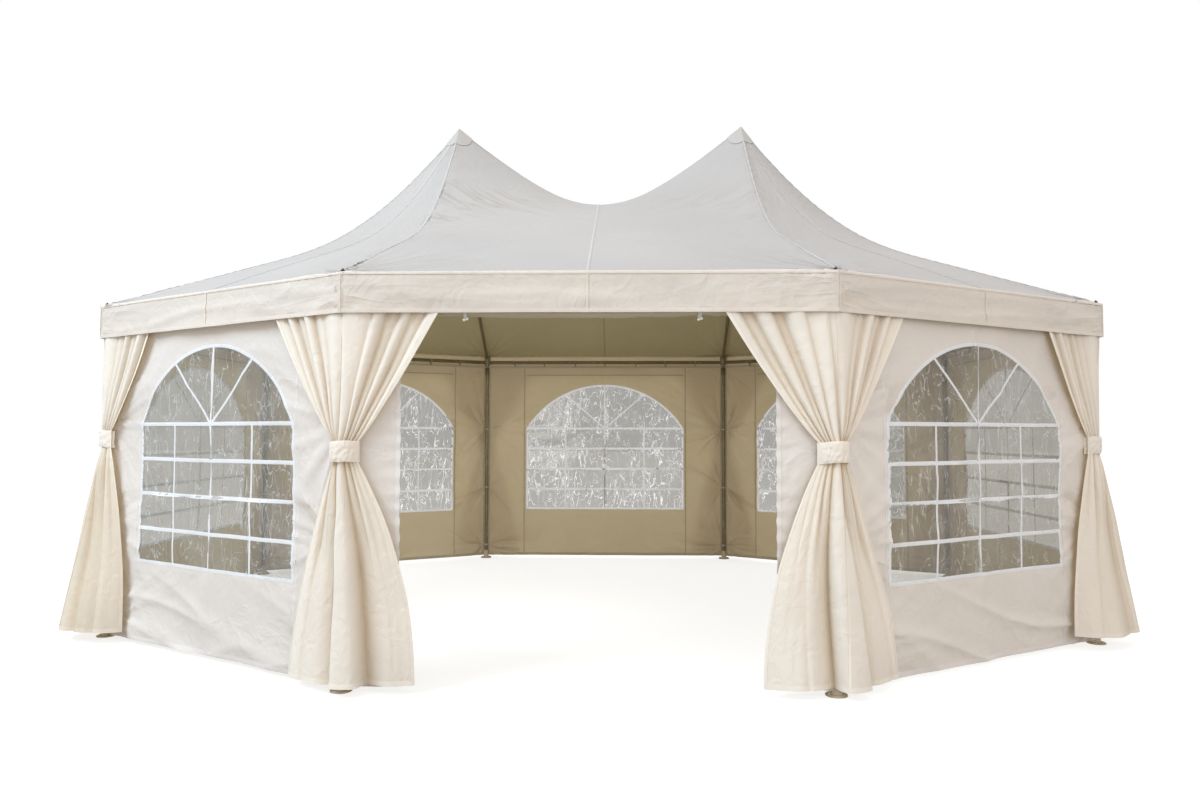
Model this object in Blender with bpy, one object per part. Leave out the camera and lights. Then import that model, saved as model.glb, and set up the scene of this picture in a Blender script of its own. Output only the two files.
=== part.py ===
"""Pagoda tent: an eight-sided party tent with two roof peaks, built as its separate pieces."""
import math

import bmesh
import bpy
from mathutils import Matrix, Vector

# Plan of the post line: half sizes in metres, front (open bay) towards -Y
FRONT_HALF = 1.35
END_HALF = 1.30
HALF_LENGTH = 3.40
HALF_DEPTH = 2.50

# Heights above the ground
EAVE = 2.30
PEAK_Z = 4.03
SADDLE_Z = 3.36
VALANCE = 0.225
PEAK_X = 1.21

# Shape of the roof: the lower hip rises straight, the upper hip bends up to the peak
HIP_RISE = 1.00
HIP_BEND = 0.48
HIP_POWER = 1.78
RIDGE_ROUND = 0.5
SADDLE_ROUND = 0.04

# Steel frame
POST_RADIUS = 0.019
FOOT_RADIUS = 0.060
FOOT_EDGE = 0.007
FOOT_HEIGHT = 0.012
FOOT_TOP_RADIUS = 0.048
FOOT_COLLAR = 0.028
COLLAR_TOP = 0.022
CONNECTOR_RADIUS = 0.034
CONNECTOR_BOTTOM = 2.195
CONNECTOR_TOP = 2.300
BEAM_Z = 2.222
RAFTER_RADIUS = 0.016
RAFTER_START = 0.030
RAFTER_LANDING = math.radians(24)
RAFTER_DIP = 0.038
RAFTER_POINTS = 18
RIDGE_DIP = 0.060
RIDGE_DIP_FROM = 0.55
RIDGE_POINTS = 24
HUB_RADIUS = 0.045
HUB_BOTTOM = 3.860
HUB_SHOULDER = 3.930
HUB_NECK_RADIUS = 0.025
HUB_NECK = 3.977
HUB_TIP = 4.022
TUBE_CLEAR = 0.006
TURNED_STEPS = 20

# Fabric, modelled thicker than it is
CLOTH = 0.004
FILM = 0.002
ROOF_OUT = 0.070
ROOF_ROWS = 14
WIDE_COLUMNS = 16
END_COLUMNS = 4
ROW_CROWDING = 1.25
WALL_TOP = 2.190
WALL_BOTTOM = 0.030
STRIP_EDGE = 1.03

# Windows: each takes the same share of its bay
WINDOW_SHARE = 0.665
WINDOW_SILL = 0.55
WINDOW_SPRING = 1.47
WINDOW_RISE = 0.50
ARCH_STEPS = 14

# Corner curtains: reach along the two bays at three heights
CURTAIN_TOP = 2.190
CURTAIN_BAND = 1.310
CURTAIN_HEM = 0.040
CURTAIN_OUT = 0.060
BAND_HALF_HEIGHT = 0.055
FRONT_WING = {"front_left": 0.56, "front_right": 0.66}
SIDE_WING = 0.50
BAND_WING = 0.098
HEM_WING = 0.37
BAND_DEPTH = 0.085
HEM_DEPTH = 0.19
UPPER_SWEEP = 0.88
UPPER_SWELL = 0.6
LOWER_SWEEP = 2.0
LEVELS_ABOVE_BAND = (CURTAIN_TOP, 2.07, 1.90, 1.70, 1.52)
LEVELS_BELOW_BAND = (1.08, 0.85, 0.55, 0.25)
CURTAIN_STEPS = 10

# Rolled-up door
ROLL_RADIUS = 0.045
ROLL_Z = 2.105
ROLL_SAG = 0.015
ROLL_STEPS = 16
ROLL_STATIONS = 12

GAP = 0.0003
WALL_IN = POST_RADIUS + GAP

CORNERS = {
    "front_left": (-FRONT_HALF, -HALF_DEPTH),
    "front_right": (FRONT_HALF, -HALF_DEPTH),
    "right_front": (HALF_LENGTH, -END_HALF),
    "right_back": (HALF_LENGTH, END_HALF),
    "back_right": (FRONT_HALF, HALF_DEPTH),
    "back_left": (-FRONT_HALF, HALF_DEPTH),
    "left_back": (-HALF_LENGTH, END_HALF),
    "left_front": (-HALF_LENGTH, -END_HALF),
}

BAYS = {
    "front": ("front_left", "front_right"),
    "front_right": ("front_right", "right_front"),
    "right": ("right_front", "right_back"),
    "back_right": ("right_back", "back_right"),
    "back": ("back_right", "back_left"),
    "back_left": ("back_left", "left_back"),
    "left": ("left_back", "left_front"),
    "front_left": ("left_front", "front_left"),
}


# Scene helpers


def clear_scene():
    """Remove every object that is in the scene."""
    for item in list(bpy.data.objects):
        bpy.data.objects.remove(item, do_unlink=True)


def make_material(name, colour, roughness, metallic=0.0, alpha=1.0):
    """One Principled material."""
    material = bpy.data.materials.new(name)
    material.use_nodes = True
    shader = material.node_tree.nodes["Principled BSDF"]
    shader.inputs["Base Color"].default_value = (*colour, 1.0)
    shader.inputs["Roughness"].default_value = roughness
    shader.inputs["Metallic"].default_value = metallic
    shader.inputs["Alpha"].default_value = alpha
    return material


def add_object(name, mesh, material, smooth_angle=None):
    """Put a mesh in the scene under its node's name."""
    mesh.materials.clear()
    mesh.materials.append(material)
    if smooth_angle is not None:
        mesh.shade_smooth()
        mesh.set_sharp_from_angle(angle=smooth_angle)
    item = bpy.data.objects.new(name, mesh)
    bpy.context.scene.collection.objects.link(item)
    return item


def finish_mesh(bm, name):
    """Weld, turn the faces outwards and hand over the mesh."""
    bmesh.ops.remove_doubles(bm, verts=bm.verts, dist=1e-6)
    bmesh.ops.recalc_face_normals(bm, faces=bm.faces)
    mesh = bpy.data.meshes.new(name)
    bm.to_mesh(mesh)
    bm.free()
    return mesh


def evaluated_mesh(item):
    """The mesh of an object with its modifiers or bevel worked in."""
    graph = bpy.context.evaluated_depsgraph_get()
    graph.update()
    return bpy.data.meshes.new_from_object(item.evaluated_get(graph))


# Plan geometry


def bay_frame(bay):
    """Middle, direction, outward normal and length of a bay's post line."""
    start, end = (Vector(CORNERS[name]) for name in BAYS[bay])
    along = (end - start).normalized()
    outward = Vector((along.y, -along.x))
    return (start + end) / 2, along, outward, (end - start).length


def bay_point(bay, u, out, z):
    """World point at u along a bay from its middle, out from the post line, and up."""
    middle, along, outward, _ = bay_frame(bay)
    flat = middle + along * u + outward * out
    return Vector((flat.x, flat.y, z))


def corner_bays(corner):
    """The bay that ends at a corner and the bay that starts there."""
    before = next(bay for bay, ends in BAYS.items() if ends[1] == corner)
    after = next(bay for bay, ends in BAYS.items() if ends[0] == corner)
    return before, after


def corner_offset(corner, out):
    """Where the two post lines of a corner meet when both are moved outwards."""
    before, after = corner_bays(corner)
    normal_a = bay_frame(before)[2]
    normal_b = bay_frame(after)[2]
    bisector = (normal_a + normal_b).normalized()
    return Vector(CORNERS[corner]) + bisector * (out / bisector.dot(normal_a))


def mitre(corner, out):
    """How far a line moved outwards runs on past a corner before it meets its neighbour."""
    before, _ = corner_bays(corner)
    shift = corner_offset(corner, out) - Vector(CORNERS[corner])
    return abs(shift.dot(bay_frame(before)[1]))


# Roof form


def hip_height(t):
    """Height of a hip at plan fraction t from the peak (0) to the eave corner (1)."""
    straight = EAVE + HIP_RISE * (1.0 - t)
    bend = max(0.0, 1.0 - t / HIP_BEND) ** HIP_POWER
    return straight + (PEAK_Z - EAVE - HIP_RISE) * bend


def ridge_share(s):
    """Share of the ridge's rise that is reached at fraction s from the saddle (0) to a peak (1)."""
    reach = math.sqrt(1.0 + RIDGE_ROUND ** 2) - RIDGE_ROUND
    return (math.sqrt(s * s + RIDGE_ROUND ** 2) - RIDGE_ROUND) / reach


def ridge_height(s):
    """Height of the ridge at fraction s from the saddle to a peak."""
    return SADDLE_Z + (PEAK_Z - SADDLE_Z) * ridge_share(s)


def saddle_height(t):
    """Height of the wide panel's middle seam at plan fraction t from the ridge to the eave."""
    reach = math.sqrt(1.0 + SADDLE_ROUND ** 2) - SADDLE_ROUND
    here = math.sqrt(t * t + SADDLE_ROUND ** 2) - SADDLE_ROUND
    return SADDLE_Z - (SADDLE_Z - EAVE) * here / reach


def wide_panel_point(side, s, t):
    """Point on the front (side -1) or back (side 1) panel, s from -1 to 1 along it."""
    eave_corner = corner_offset("front_right", ROOF_OUT)
    x = s * (PEAK_X + (eave_corner.x - PEAK_X) * t)
    y = -side * eave_corner.y * t
    middle = saddle_height(t)
    z = middle + (hip_height(t) - middle) * ridge_share(abs(s))
    return Vector((x, y, z))


def end_panel_point(start, end, s, t):
    """Point on a three-cornered panel between two eave corners."""
    corner_a = corner_offset(start, ROOF_OUT)
    corner_b = corner_offset(end, ROOF_OUT)
    peak = Vector((math.copysign(PEAK_X, corner_a.x + corner_b.x), 0.0))
    eave = corner_a.lerp(corner_b, s)
    flat = peak.lerp(eave, t)
    return Vector((flat.x, flat.y, hip_height(t)))


def add_grid(bm, point, columns, rows):
    """Quads between the points of point(i, j)."""
    grid = [[bm.verts.new(point(i, j)) for j in range(rows + 1)] for i in range(columns + 1)]
    for i in range(columns):
        for j in range(rows):
            bm.faces.new((grid[i][j], grid[i + 1][j], grid[i + 1][j + 1], grid[i][j + 1]))


def sewn_cover():
    """The whole roof skin with its hanging valance, given the cloth's thickness."""
    bm = bmesh.new()

    def down(j):
        return (j / ROOF_ROWS) ** ROW_CROWDING

    for side in (-1, 1):
        add_grid(
            bm,
            lambda i, j, side=side: wide_panel_point(side, 2.0 * i / WIDE_COLUMNS - 1.0, down(j)),
            WIDE_COLUMNS,
            ROOF_ROWS,
        )
    for bay, (start, end) in BAYS.items():
        if bay not in ("front", "back"):
            add_grid(
                bm,
                lambda i, j, a=start, b=end: end_panel_point(a, b, i / END_COLUMNS, down(j)),
                END_COLUMNS,
                ROOF_ROWS,
            )
    bmesh.ops.remove_doubles(bm, verts=bm.verts, dist=1e-5)
    rim = [edge for edge in bm.edges if edge.is_boundary]
    hanging = bmesh.ops.extrude_edge_only(bm, edges=rim)
    lower = [item for item in hanging["geom"] if isinstance(item, bmesh.types.BMVert)]
    bmesh.ops.translate(bm, verts=lower, vec=(0.0, 0.0, -VALANCE))
    bmesh.ops.recalc_face_normals(bm, faces=bm.faces)
    skin_mesh = bpy.data.meshes.new("cover")
    bm.to_mesh(skin_mesh)
    bm.free()
    holder = bpy.data.objects.new("cover", skin_mesh)
    bpy.context.scene.collection.objects.link(holder)
    skin = holder.modifiers.new("Cloth thickness", "SOLIDIFY")
    skin.thickness = CLOTH
    skin.offset = -1.0
    skin.use_even_offset = True
    solid = evaluated_mesh(holder)
    bpy.data.objects.remove(holder)
    return solid


def seam_plane(corner):
    """Upright plane through a hip seam: a point on it and its normal, turned anticlockwise."""
    peak = Vector((math.copysign(PEAK_X, CORNERS[corner][0]), 0.0, 0.0))
    eave_corner = corner_offset(corner, ROOF_OUT)
    along = Vector((eave_corner.x, eave_corner.y, 0.0)) - peak
    return peak, Vector((-along.y, along.x, 0.0)).normalized()


def keep_side(bm, point, normal):
    """Cut the body along a plane, keep what the normal points to and close the cut."""
    geometry = bm.verts[:] + bm.edges[:] + bm.faces[:]
    bmesh.ops.bisect_plane(
        bm, geom=geometry, dist=1e-6, plane_co=point + normal * (GAP / 2), plane_no=normal, clear_inner=True
    )
    open_edges = [edge for edge in bm.edges if edge.is_boundary]
    bmesh.ops.holes_fill(bm, edges=open_edges, sides=0)


def roof_panel(bay, cover, material):
    """One gore of the roof with its length of valance, cut from the whole cover at its seams."""
    start, end = BAYS[bay]
    bm = bmesh.new()
    bm.from_mesh(cover)
    point, normal = seam_plane(start)
    keep_side(bm, point, normal)
    point, normal = seam_plane(end)
    keep_side(bm, point, -normal)
    if bay in ("front", "back"):
        outward = bay_frame(bay)[2]
        keep_side(bm, Vector((0.0, 0.0, 0.0)), Vector((0.0, outward.y, 0.0)))
    add_object(f"roof_{bay}", finish_mesh(bm, "roof"), material, math.radians(35))


# Steel frame


def turned_mesh(name, profile):
    """A closed turned piece from (radius, height) points listed bottom to top."""
    bm = bmesh.new()
    verts = [bm.verts.new((radius, 0.0, height)) for radius, height in profile]
    edges = [bm.edges.new(pair) for pair in zip(verts, verts[1:])]
    bmesh.ops.spin(
        bm,
        geom=verts + edges,
        cent=(0.0, 0.0, 0.0),
        axis=(0.0, 0.0, 1.0),
        angle=2.0 * math.pi,
        steps=TURNED_STEPS,
        use_merge=True,
    )
    return finish_mesh(bm, name)


def tube_mesh(name, points, radius):
    """A round bar that follows the points."""
    curve = bpy.data.curves.new(name, "CURVE")
    curve.dimensions = "3D"
    curve.bevel_depth = radius
    curve.bevel_resolution = 4
    curve.use_fill_caps = True
    spline = curve.splines.new("POLY")
    spline.points.add(len(points) - 1)
    for spot, point in zip(spline.points, points):
        spot.co = (*point, 1.0)
    holder = bpy.data.objects.new(name, curve)
    bpy.context.scene.collection.objects.link(holder)
    mesh = evaluated_mesh(holder)
    bpy.data.objects.remove(holder)
    bm = bmesh.new()
    bm.from_mesh(mesh)
    return finish_mesh(bm, name)


def post(corner, material):
    """Corner post: foot plate, tube and the connector that takes the eave tubes."""
    profile = [
        (0.0, 0.0),
        (FOOT_RADIUS, 0.0),
        (FOOT_RADIUS, FOOT_EDGE),
        (FOOT_TOP_RADIUS, FOOT_HEIGHT),
        (FOOT_COLLAR, FOOT_HEIGHT),
        (POST_RADIUS, COLLAR_TOP),
        (POST_RADIUS, CONNECTOR_BOTTOM),
        (CONNECTOR_RADIUS, CONNECTOR_BOTTOM),
        (CONNECTOR_RADIUS, CONNECTOR_TOP),
        (0.0, CONNECTOR_TOP),
    ]
    item = add_object(f"post_{corner}", turned_mesh("post", profile), material, math.radians(40))
    x, y = CORNERS[corner]
    item.location = (x, y, 0.0)


def eave_tube(bay, material):
    """Straight tube between two connectors."""
    _, _, _, length = bay_frame(bay)
    reach = length / 2 - CONNECTOR_RADIUS - GAP
    points = [bay_point(bay, u, 0.0, BEAM_Z) for u in (-reach, reach)]
    add_object(f"eave_tube_{bay}", tube_mesh("eave_tube", points, POST_RADIUS), material, math.radians(40))


def curve_slope(height, t, run):
    """Steepness of a height curve at t over a plan run, as an angle."""
    step = 0.002
    return math.atan2(abs(height(t + step) - height(t - step)), 2.0 * step * run)


def hang_below(height, t, run, radius):
    """How far under a fabric line a tube's centre lies, so that the two just clear."""
    return (CLOTH + radius + TUBE_CLEAR) / math.cos(curve_slope(height, t, run))


def rafter_points(corner):
    """Centre line of one bent rafter, from inside the hub down to its connector."""
    post_spot = Vector(CORNERS[corner])
    peak = Vector((math.copysign(PEAK_X, post_spot.x), 0.0))
    roof_run = (corner_offset(corner, ROOF_OUT) - peak).length
    direction = (post_spot - peak).normalized()
    post_run = (post_spot - peak).length
    end_run = post_run - CONNECTOR_RADIUS - GAP - RAFTER_RADIUS * math.sin(RAFTER_LANDING)
    points = []
    for i in range(RAFTER_POINTS + 1):
        run = RAFTER_START + (end_run - RAFTER_START) * (i / RAFTER_POINTS) ** ROW_CROWDING
        t = run / roof_run
        late = max(0.0, (run / end_run - 0.5) / 0.5)
        drop = hang_below(hip_height, t, roof_run, RAFTER_RADIUS) + RAFTER_DIP * late ** 2
        flat = peak + direction * run
        points.append(Vector((flat.x, flat.y, hip_height(t) - drop)))
    return points


def peak_frame(side, material):
    """Hub of one peak with its four bent rafters, welded into one piece."""
    hub_profile = [
        (0.0, HUB_BOTTOM),
        (HUB_RADIUS, HUB_BOTTOM),
        (HUB_RADIUS, HUB_SHOULDER),
        (HUB_NECK_RADIUS, HUB_NECK),
        (0.0, HUB_TIP),
    ]
    name = f"peak_frame_{side}"
    hub = add_object(name, turned_mesh(name, hub_profile), material)
    sign = 1.0 if side == "right" else -1.0
    hub.data.transform(Matrix.Translation((sign * PEAK_X, 0.0, 0.0)))
    for corner, (x, _) in CORNERS.items():
        if x * sign > 0.0:
            bar = add_object("rafter", tube_mesh("rafter", rafter_points(corner), RAFTER_RADIUS), material)
            weld = hub.modifiers.new("Weld", "BOOLEAN")
            weld.operation = "UNION"
            weld.solver = "EXACT"
            weld.object = bar
            joined = evaluated_mesh(hub)
            hub.modifiers.clear()
            hub.data = joined
            bpy.data.objects.remove(bar)
    hub.data.shade_smooth()
    hub.data.set_sharp_from_angle(angle=math.radians(40))


def ridge_tube(material):
    """Bent tube that keeps the two hubs apart under the saddle of the roof."""
    reach = PEAK_X - HUB_RADIUS - GAP
    points = []
    for i in range(RIDGE_POINTS + 1):
        x = reach * (2.0 * i / RIDGE_POINTS - 1.0)
        s = abs(x) / PEAK_X
        late = max(0.0, (abs(x) / reach - RIDGE_DIP_FROM) / (1.0 - RIDGE_DIP_FROM))
        drop = hang_below(ridge_height, s, PEAK_X, RAFTER_RADIUS) + RIDGE_DIP * late ** 2
        points.append(Vector((x, 0.0, ridge_height(s) - drop)))
    points[0].z = points[1].z
    points[-1].z = points[-2].z
    add_object("ridge_tube", tube_mesh("ridge_tube", points, RAFTER_RADIUS), material, math.radians(40))


# Walls and windows


def window_outline(bay, inset=0.0):
    """Window outline in (u, z): upright sides under a segmental arch, counter-clockwise."""
    half = bay_frame(bay)[3] * WINDOW_SHARE / 2
    radius = (half ** 2 + WINDOW_RISE ** 2) / (2.0 * WINDOW_RISE)
    centre_z = WINDOW_SPRING + WINDOW_RISE - radius
    small = radius - inset
    angle = math.acos((half - inset) / small)
    points = [(-half + inset, WINDOW_SILL + inset), (half - inset, WINDOW_SILL + inset)]
    for i in range(ARCH_STEPS + 1):
        turn = angle + (math.pi - 2.0 * angle) * i / ARCH_STEPS
        points.append((small * math.cos(turn), centre_z + small * math.sin(turn)))
    return points


def slab_mesh(name, bay, outlines, inner, outer):
    """Flat panel of a bay: the first outline filled, the others left open, then thickened."""
    bm = bmesh.new()
    edges = []
    for outline in outlines:
        verts = [bm.verts.new(bay_point(bay, u, inner, z)) for u, z in outline]
        edges += [bm.edges.new(pair) for pair in zip(verts, verts[1:] + verts[:1])]
    if len(outlines) == 1:
        faces = [bm.faces.new(verts)]
    else:
        filled = bmesh.ops.triangle_fill(bm, edges=edges, use_beauty=True)
        faces = [item for item in filled["geom"] if isinstance(item, bmesh.types.BMFace)]
    grown = bmesh.ops.extrude_face_region(bm, geom=faces, use_keep_orig=True)
    moved = [item for item in grown["geom"] if isinstance(item, bmesh.types.BMVert)]
    outward = bay_frame(bay)[2] * (outer - inner)
    bmesh.ops.translate(bm, verts=moved, vec=(outward.x, outward.y, 0.0))
    return finish_mesh(bm, name)


def wall_edges(bay):
    """Ends of a wall panel along its bay, just short of the neighbour's."""
    start, end = BAYS[bay]
    half = bay_frame(bay)[3] / 2
    short = 2.0 * GAP
    return -half - mitre(start, WALL_IN) + short, half + mitre(end, WALL_IN) - short


def rectangle(left, right, bottom, top):
    """Outline of an upright rectangle."""
    return [(left, bottom), (right, bottom), (right, top), (left, top)]


def wall_with_window(bay, cloth, film):
    """One wall panel with its window opening, and the clear window in it."""
    left, right = wall_edges(bay)
    outline = rectangle(left, right, WALL_BOTTOM, WALL_TOP)
    panel = slab_mesh("wall", bay, [outline, window_outline(bay)], WALL_IN, WALL_IN + CLOTH)
    add_object(f"wall_{bay}", panel, cloth)
    back = WALL_IN + (CLOTH - FILM) / 2
    pane = slab_mesh("window", bay, [window_outline(bay, GAP)], back, back + FILM)
    add_object(f"window_{bay}", pane, film)


def door_strip(side, cloth):
    """Narrow fabric strip that stays beside a front post when the door is rolled up."""
    left, right = wall_edges("front")
    if side == "left":
        outline = rectangle(left, -STRIP_EDGE, WALL_BOTTOM, WALL_TOP)
    else:
        outline = rectangle(STRIP_EDGE, right, WALL_BOTTOM, WALL_TOP)
    panel = slab_mesh("door_strip", "front", [outline], WALL_IN, WALL_IN + CLOTH)
    add_object(f"door_strip_{side}", panel, cloth)


def loft_mesh(name, rings):
    """Closed body through rings of points, each ring listed the same way round."""
    bm = bmesh.new()
    loops = [[bm.verts.new(point) for point in ring] for ring in rings]
    for lower, upper in zip(loops, loops[1:]):
        count = len(lower)
        for i in range(count):
            j = (i + 1) % count
            bm.faces.new((lower[i], lower[j], upper[j], upper[i]))
    bm.faces.new(loops[0])
    bm.faces.new(loops[-1])
    return finish_mesh(bm, name)


def rolled_door(cloth):
    """The middle of the front wall, rolled up under its top hem."""
    face = WALL_IN + CLOTH
    centre = face - ROLL_RADIUS
    half = STRIP_EDGE - GAP
    meet = math.acos((WALL_IN - centre) / ROLL_RADIUS)
    rings = []
    for i in range(ROLL_STATIONS + 1):
        u = half * (2.0 * i / ROLL_STATIONS - 1.0)
        z = ROLL_Z - ROLL_SAG * (1.0 - (u / half) ** 2)
        ring = [bay_point("front", u, face, WALL_TOP)]
        for k in range(ROLL_STEPS + 1):
            turn = -(2.0 * math.pi - meet) * k / ROLL_STEPS
            out = centre + ROLL_RADIUS * math.cos(turn)
            ring.append(bay_point("front", u, out, z + ROLL_RADIUS * math.sin(turn)))
        ring.append(bay_point("front", u, WALL_IN, WALL_TOP))
        rings.append(ring)
    add_object("rolled_door", loft_mesh("rolled_door", rings), cloth, math.radians(40))


# Corner curtains


def blend_between(low, high, share):
    """Value between low and high at a share of the way."""
    return low + (high - low) * max(0.0, min(1.0, share))


def curtain_size(wing_top, z):
    """Reach along a bay and outward depth of a curtain at a height."""
    top_of_band = CURTAIN_BAND + BAND_HALF_HEIGHT
    foot_of_band = CURTAIN_BAND - BAND_HALF_HEIGHT
    if z > top_of_band:
        share = (z - top_of_band) / (CURTAIN_TOP - top_of_band)
        thin = CURTAIN_OUT - WALL_IN - CLOTH - GAP
        wing = blend_between(BAND_WING, wing_top, share ** UPPER_SWEEP)
        return wing, blend_between(BAND_DEPTH, thin, share ** UPPER_SWELL)
    if z < foot_of_band:
        share = (foot_of_band - z) / (foot_of_band - CURTAIN_HEM)
        flared = 1.0 - (1.0 - share) ** LOWER_SWEEP
        return blend_between(BAND_WING, HEM_WING, flared), blend_between(BAND_DEPTH, HEM_DEPTH, flared)
    return BAND_WING, BAND_DEPTH


def curtain_ring(corner, wing_before, wing_after, z):
    """One level of a curtain: along the walls inside, bulging outwards outside."""
    before, after = corner_bays(corner)
    along_a, normal_a = bay_frame(before)[1:3]
    along_b, normal_b = bay_frame(after)[1:3]
    back = WALL_IN + CLOTH + GAP
    heart = corner_offset(corner, back)
    reach_a, depth = curtain_size(wing_before, z)
    reach_b, _ = curtain_size(wing_after, z)

    def base(a):
        return heart - along_a * (-a * reach_a) if a < 0.0 else heart + along_b * (a * reach_b)

    inner = [base(a) for a in (-1.0, -0.5, 0.0, 0.5, 1.0)]
    thin = min(depth, CURTAIN_OUT - back)
    outer = []
    for i in range(CURTAIN_STEPS + 1):
        a = 1.0 - 2.0 * i / CURTAIN_STEPS
        normal = normal_a.lerp(normal_b, (a + 1.0) / 2.0).normalized()
        swell = thin + (depth - thin) * (1.0 - a * a)
        stretch = 1.0 / max(0.5, normal.dot(normal_a if a < 0.0 else normal_b))
        outer.append(base(a) + normal * swell * stretch)
    return [Vector((p.x, p.y, z)) for p in inner + outer]


def corner_curtain(corner, cloth):
    """Curtain gathered at the corner by its tie band."""
    before, after = corner_bays(corner)
    front = FRONT_WING.get(corner)
    wing_before = front if before == "front" else SIDE_WING
    wing_after = front if after == "front" else SIDE_WING
    band = (CURTAIN_BAND + BAND_HALF_HEIGHT, CURTAIN_BAND - BAND_HALF_HEIGHT)
    levels = (*LEVELS_ABOVE_BAND, *band, *LEVELS_BELOW_BAND, CURTAIN_HEM)
    rings = [curtain_ring(corner, wing_before, wing_after, z) for z in levels]
    add_object(f"curtain_{corner}", loft_mesh("curtain", rings), cloth, math.radians(40))


def build():
    """Make every piece of the tent."""
    clear_scene()
    steel = make_material("frame_steel", (0.58, 0.52, 0.42), 0.45, 0.25)
    roof = make_material("roof_fabric", (0.78, 0.77, 0.74), 0.75)
    wall = make_material("wall_fabric", (0.80, 0.74, 0.63), 0.80)
    drape = make_material("curtain_fabric", (0.84, 0.77, 0.65), 0.80)
    film = make_material("window_film", (0.85, 0.87, 0.88), 0.12, 0.0, 0.35)
    for corner in CORNERS:
        post(corner, steel)
        corner_curtain(corner, drape)
    for bay in BAYS:
        eave_tube(bay, steel)
        if bay != "front":
            wall_with_window(bay, wall, film)
    for side in ("left", "right"):
        peak_frame(side, steel)
        door_strip(side, wall)
    ridge_tube(steel)
    rolled_door(wall)
    cover = sewn_cover()
    for bay in BAYS:
        roof_panel(bay, cover, roof)


build()
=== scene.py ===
# %% [markdown]
# # A pagoda tent with two peaks
# The tent is a stretched octagon of eight posts under one sewn roof with two points. Its walls have
# arched windows, its corners have gathered curtains, and its front is open with the door rolled up.
# The frame that is loaded here fixes every size, so each step below only dresses it: it takes its
# measures from the frame, lays a piece of cloth or hardware over it and gives it a finish.

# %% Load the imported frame
import functools
import math

import bmesh
import bpy
from mathutils import Matrix, Vector, noise


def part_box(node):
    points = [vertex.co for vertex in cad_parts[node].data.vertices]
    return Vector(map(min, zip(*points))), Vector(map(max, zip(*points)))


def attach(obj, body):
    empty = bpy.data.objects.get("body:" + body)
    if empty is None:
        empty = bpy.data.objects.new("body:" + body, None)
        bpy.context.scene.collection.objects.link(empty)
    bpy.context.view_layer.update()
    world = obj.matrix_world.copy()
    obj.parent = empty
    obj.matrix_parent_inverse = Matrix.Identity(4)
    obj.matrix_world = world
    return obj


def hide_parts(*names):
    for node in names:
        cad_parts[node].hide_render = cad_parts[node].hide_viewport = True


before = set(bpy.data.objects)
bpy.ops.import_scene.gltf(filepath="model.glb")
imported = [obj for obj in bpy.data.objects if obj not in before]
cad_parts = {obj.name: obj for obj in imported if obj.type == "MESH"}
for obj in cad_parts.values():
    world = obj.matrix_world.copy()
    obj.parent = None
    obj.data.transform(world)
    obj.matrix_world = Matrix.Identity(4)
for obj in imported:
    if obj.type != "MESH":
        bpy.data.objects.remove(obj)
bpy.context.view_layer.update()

# %% [markdown]
# ## Camera, floor and light
# The photograph was taken from just in front of the open side, about 1.4 m up and with a wide lens.
# The camera is built from its place and three small turns, to the side, up and about its own line
# of sight, because these are what the picture's vanishing lines gave.

# %% Set up the camera
CAMERA_PLACE = Vector((0.184, -7.160, 1.413))
CAMERA_YAW = -0.0247
CAMERA_PITCH = 0.0395
CAMERA_ROLL = 0.0013
CAMERA_LENS = 25.36


def set_up_camera():
    """Turn the camera by its yaw, pitch and roll, and make it the scene's."""
    forward = Vector((
        math.sin(CAMERA_YAW) * math.cos(CAMERA_PITCH),
        math.cos(CAMERA_YAW) * math.cos(CAMERA_PITCH),
        math.sin(CAMERA_PITCH),
    ))
    level = Vector((math.cos(CAMERA_YAW), -math.sin(CAMERA_YAW), 0.0))
    upward = level.cross(forward)
    right = level * math.cos(CAMERA_ROLL) + upward * math.sin(CAMERA_ROLL)
    top = right.cross(forward)
    camera = bpy.data.objects.new("camera", bpy.data.cameras.new("camera"))
    bpy.context.scene.collection.objects.link(camera)
    turn = Matrix((right, top, -forward)).transposed()
    camera.matrix_world = Matrix.Translation(CAMERA_PLACE) @ turn.to_4x4()
    camera.data.sensor_width = 36.0
    camera.data.lens = CAMERA_LENS
    bpy.context.scene.camera = camera


set_up_camera()
print("camera at", CAMERA_PLACE[:])

# %% [markdown]
# Every finish below is a tree of shader nodes. Three helpers keep those trees short: one starts a
# material, one adds any node and fills its sockets, and one does a step of arithmetic.

# %% Helpers for materials


def new_material(name):
    """A node material, its tree and its Principled shader."""
    material = bpy.data.materials.new(name)
    material.use_nodes = True
    return material, material.node_tree, material.node_tree.nodes["Principled BSDF"]


def add_node(tree, kind, inputs=None, **settings):
    """Add a node, set its properties, and fill its inputs with values or links."""
    made = tree.nodes.new(kind)
    for key, value in settings.items():
        setattr(made, key, value)
    for key, value in (inputs or {}).items():
        if isinstance(value, bpy.types.NodeSocket):
            tree.links.new(value, made.inputs[key])
        else:
            made.inputs[key].default_value = value
    return made


def math_node(tree, operation, first, second=None, clamp=False):
    """One step of arithmetic; returns its output socket."""
    inputs = {0: first} if second is None else {0: first, 1: second}
    return add_node(tree, "ShaderNodeMath", inputs, operation=operation, use_clamp=clamp).outputs[0]


print("material helpers ready")

# %% [markdown]
# A pale studio: an even white sky does most of the work, because tent cloth is lit from all
# round and glows where light comes through it. One broad, slightly cool lamp high at the left gives
# the folds their soft shade, a weak one in front reaches in through the open side, and a small one
# inside rakes over the creases of the back walls. The floor is a plain pale sheet and belongs to the
# stage.

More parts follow.
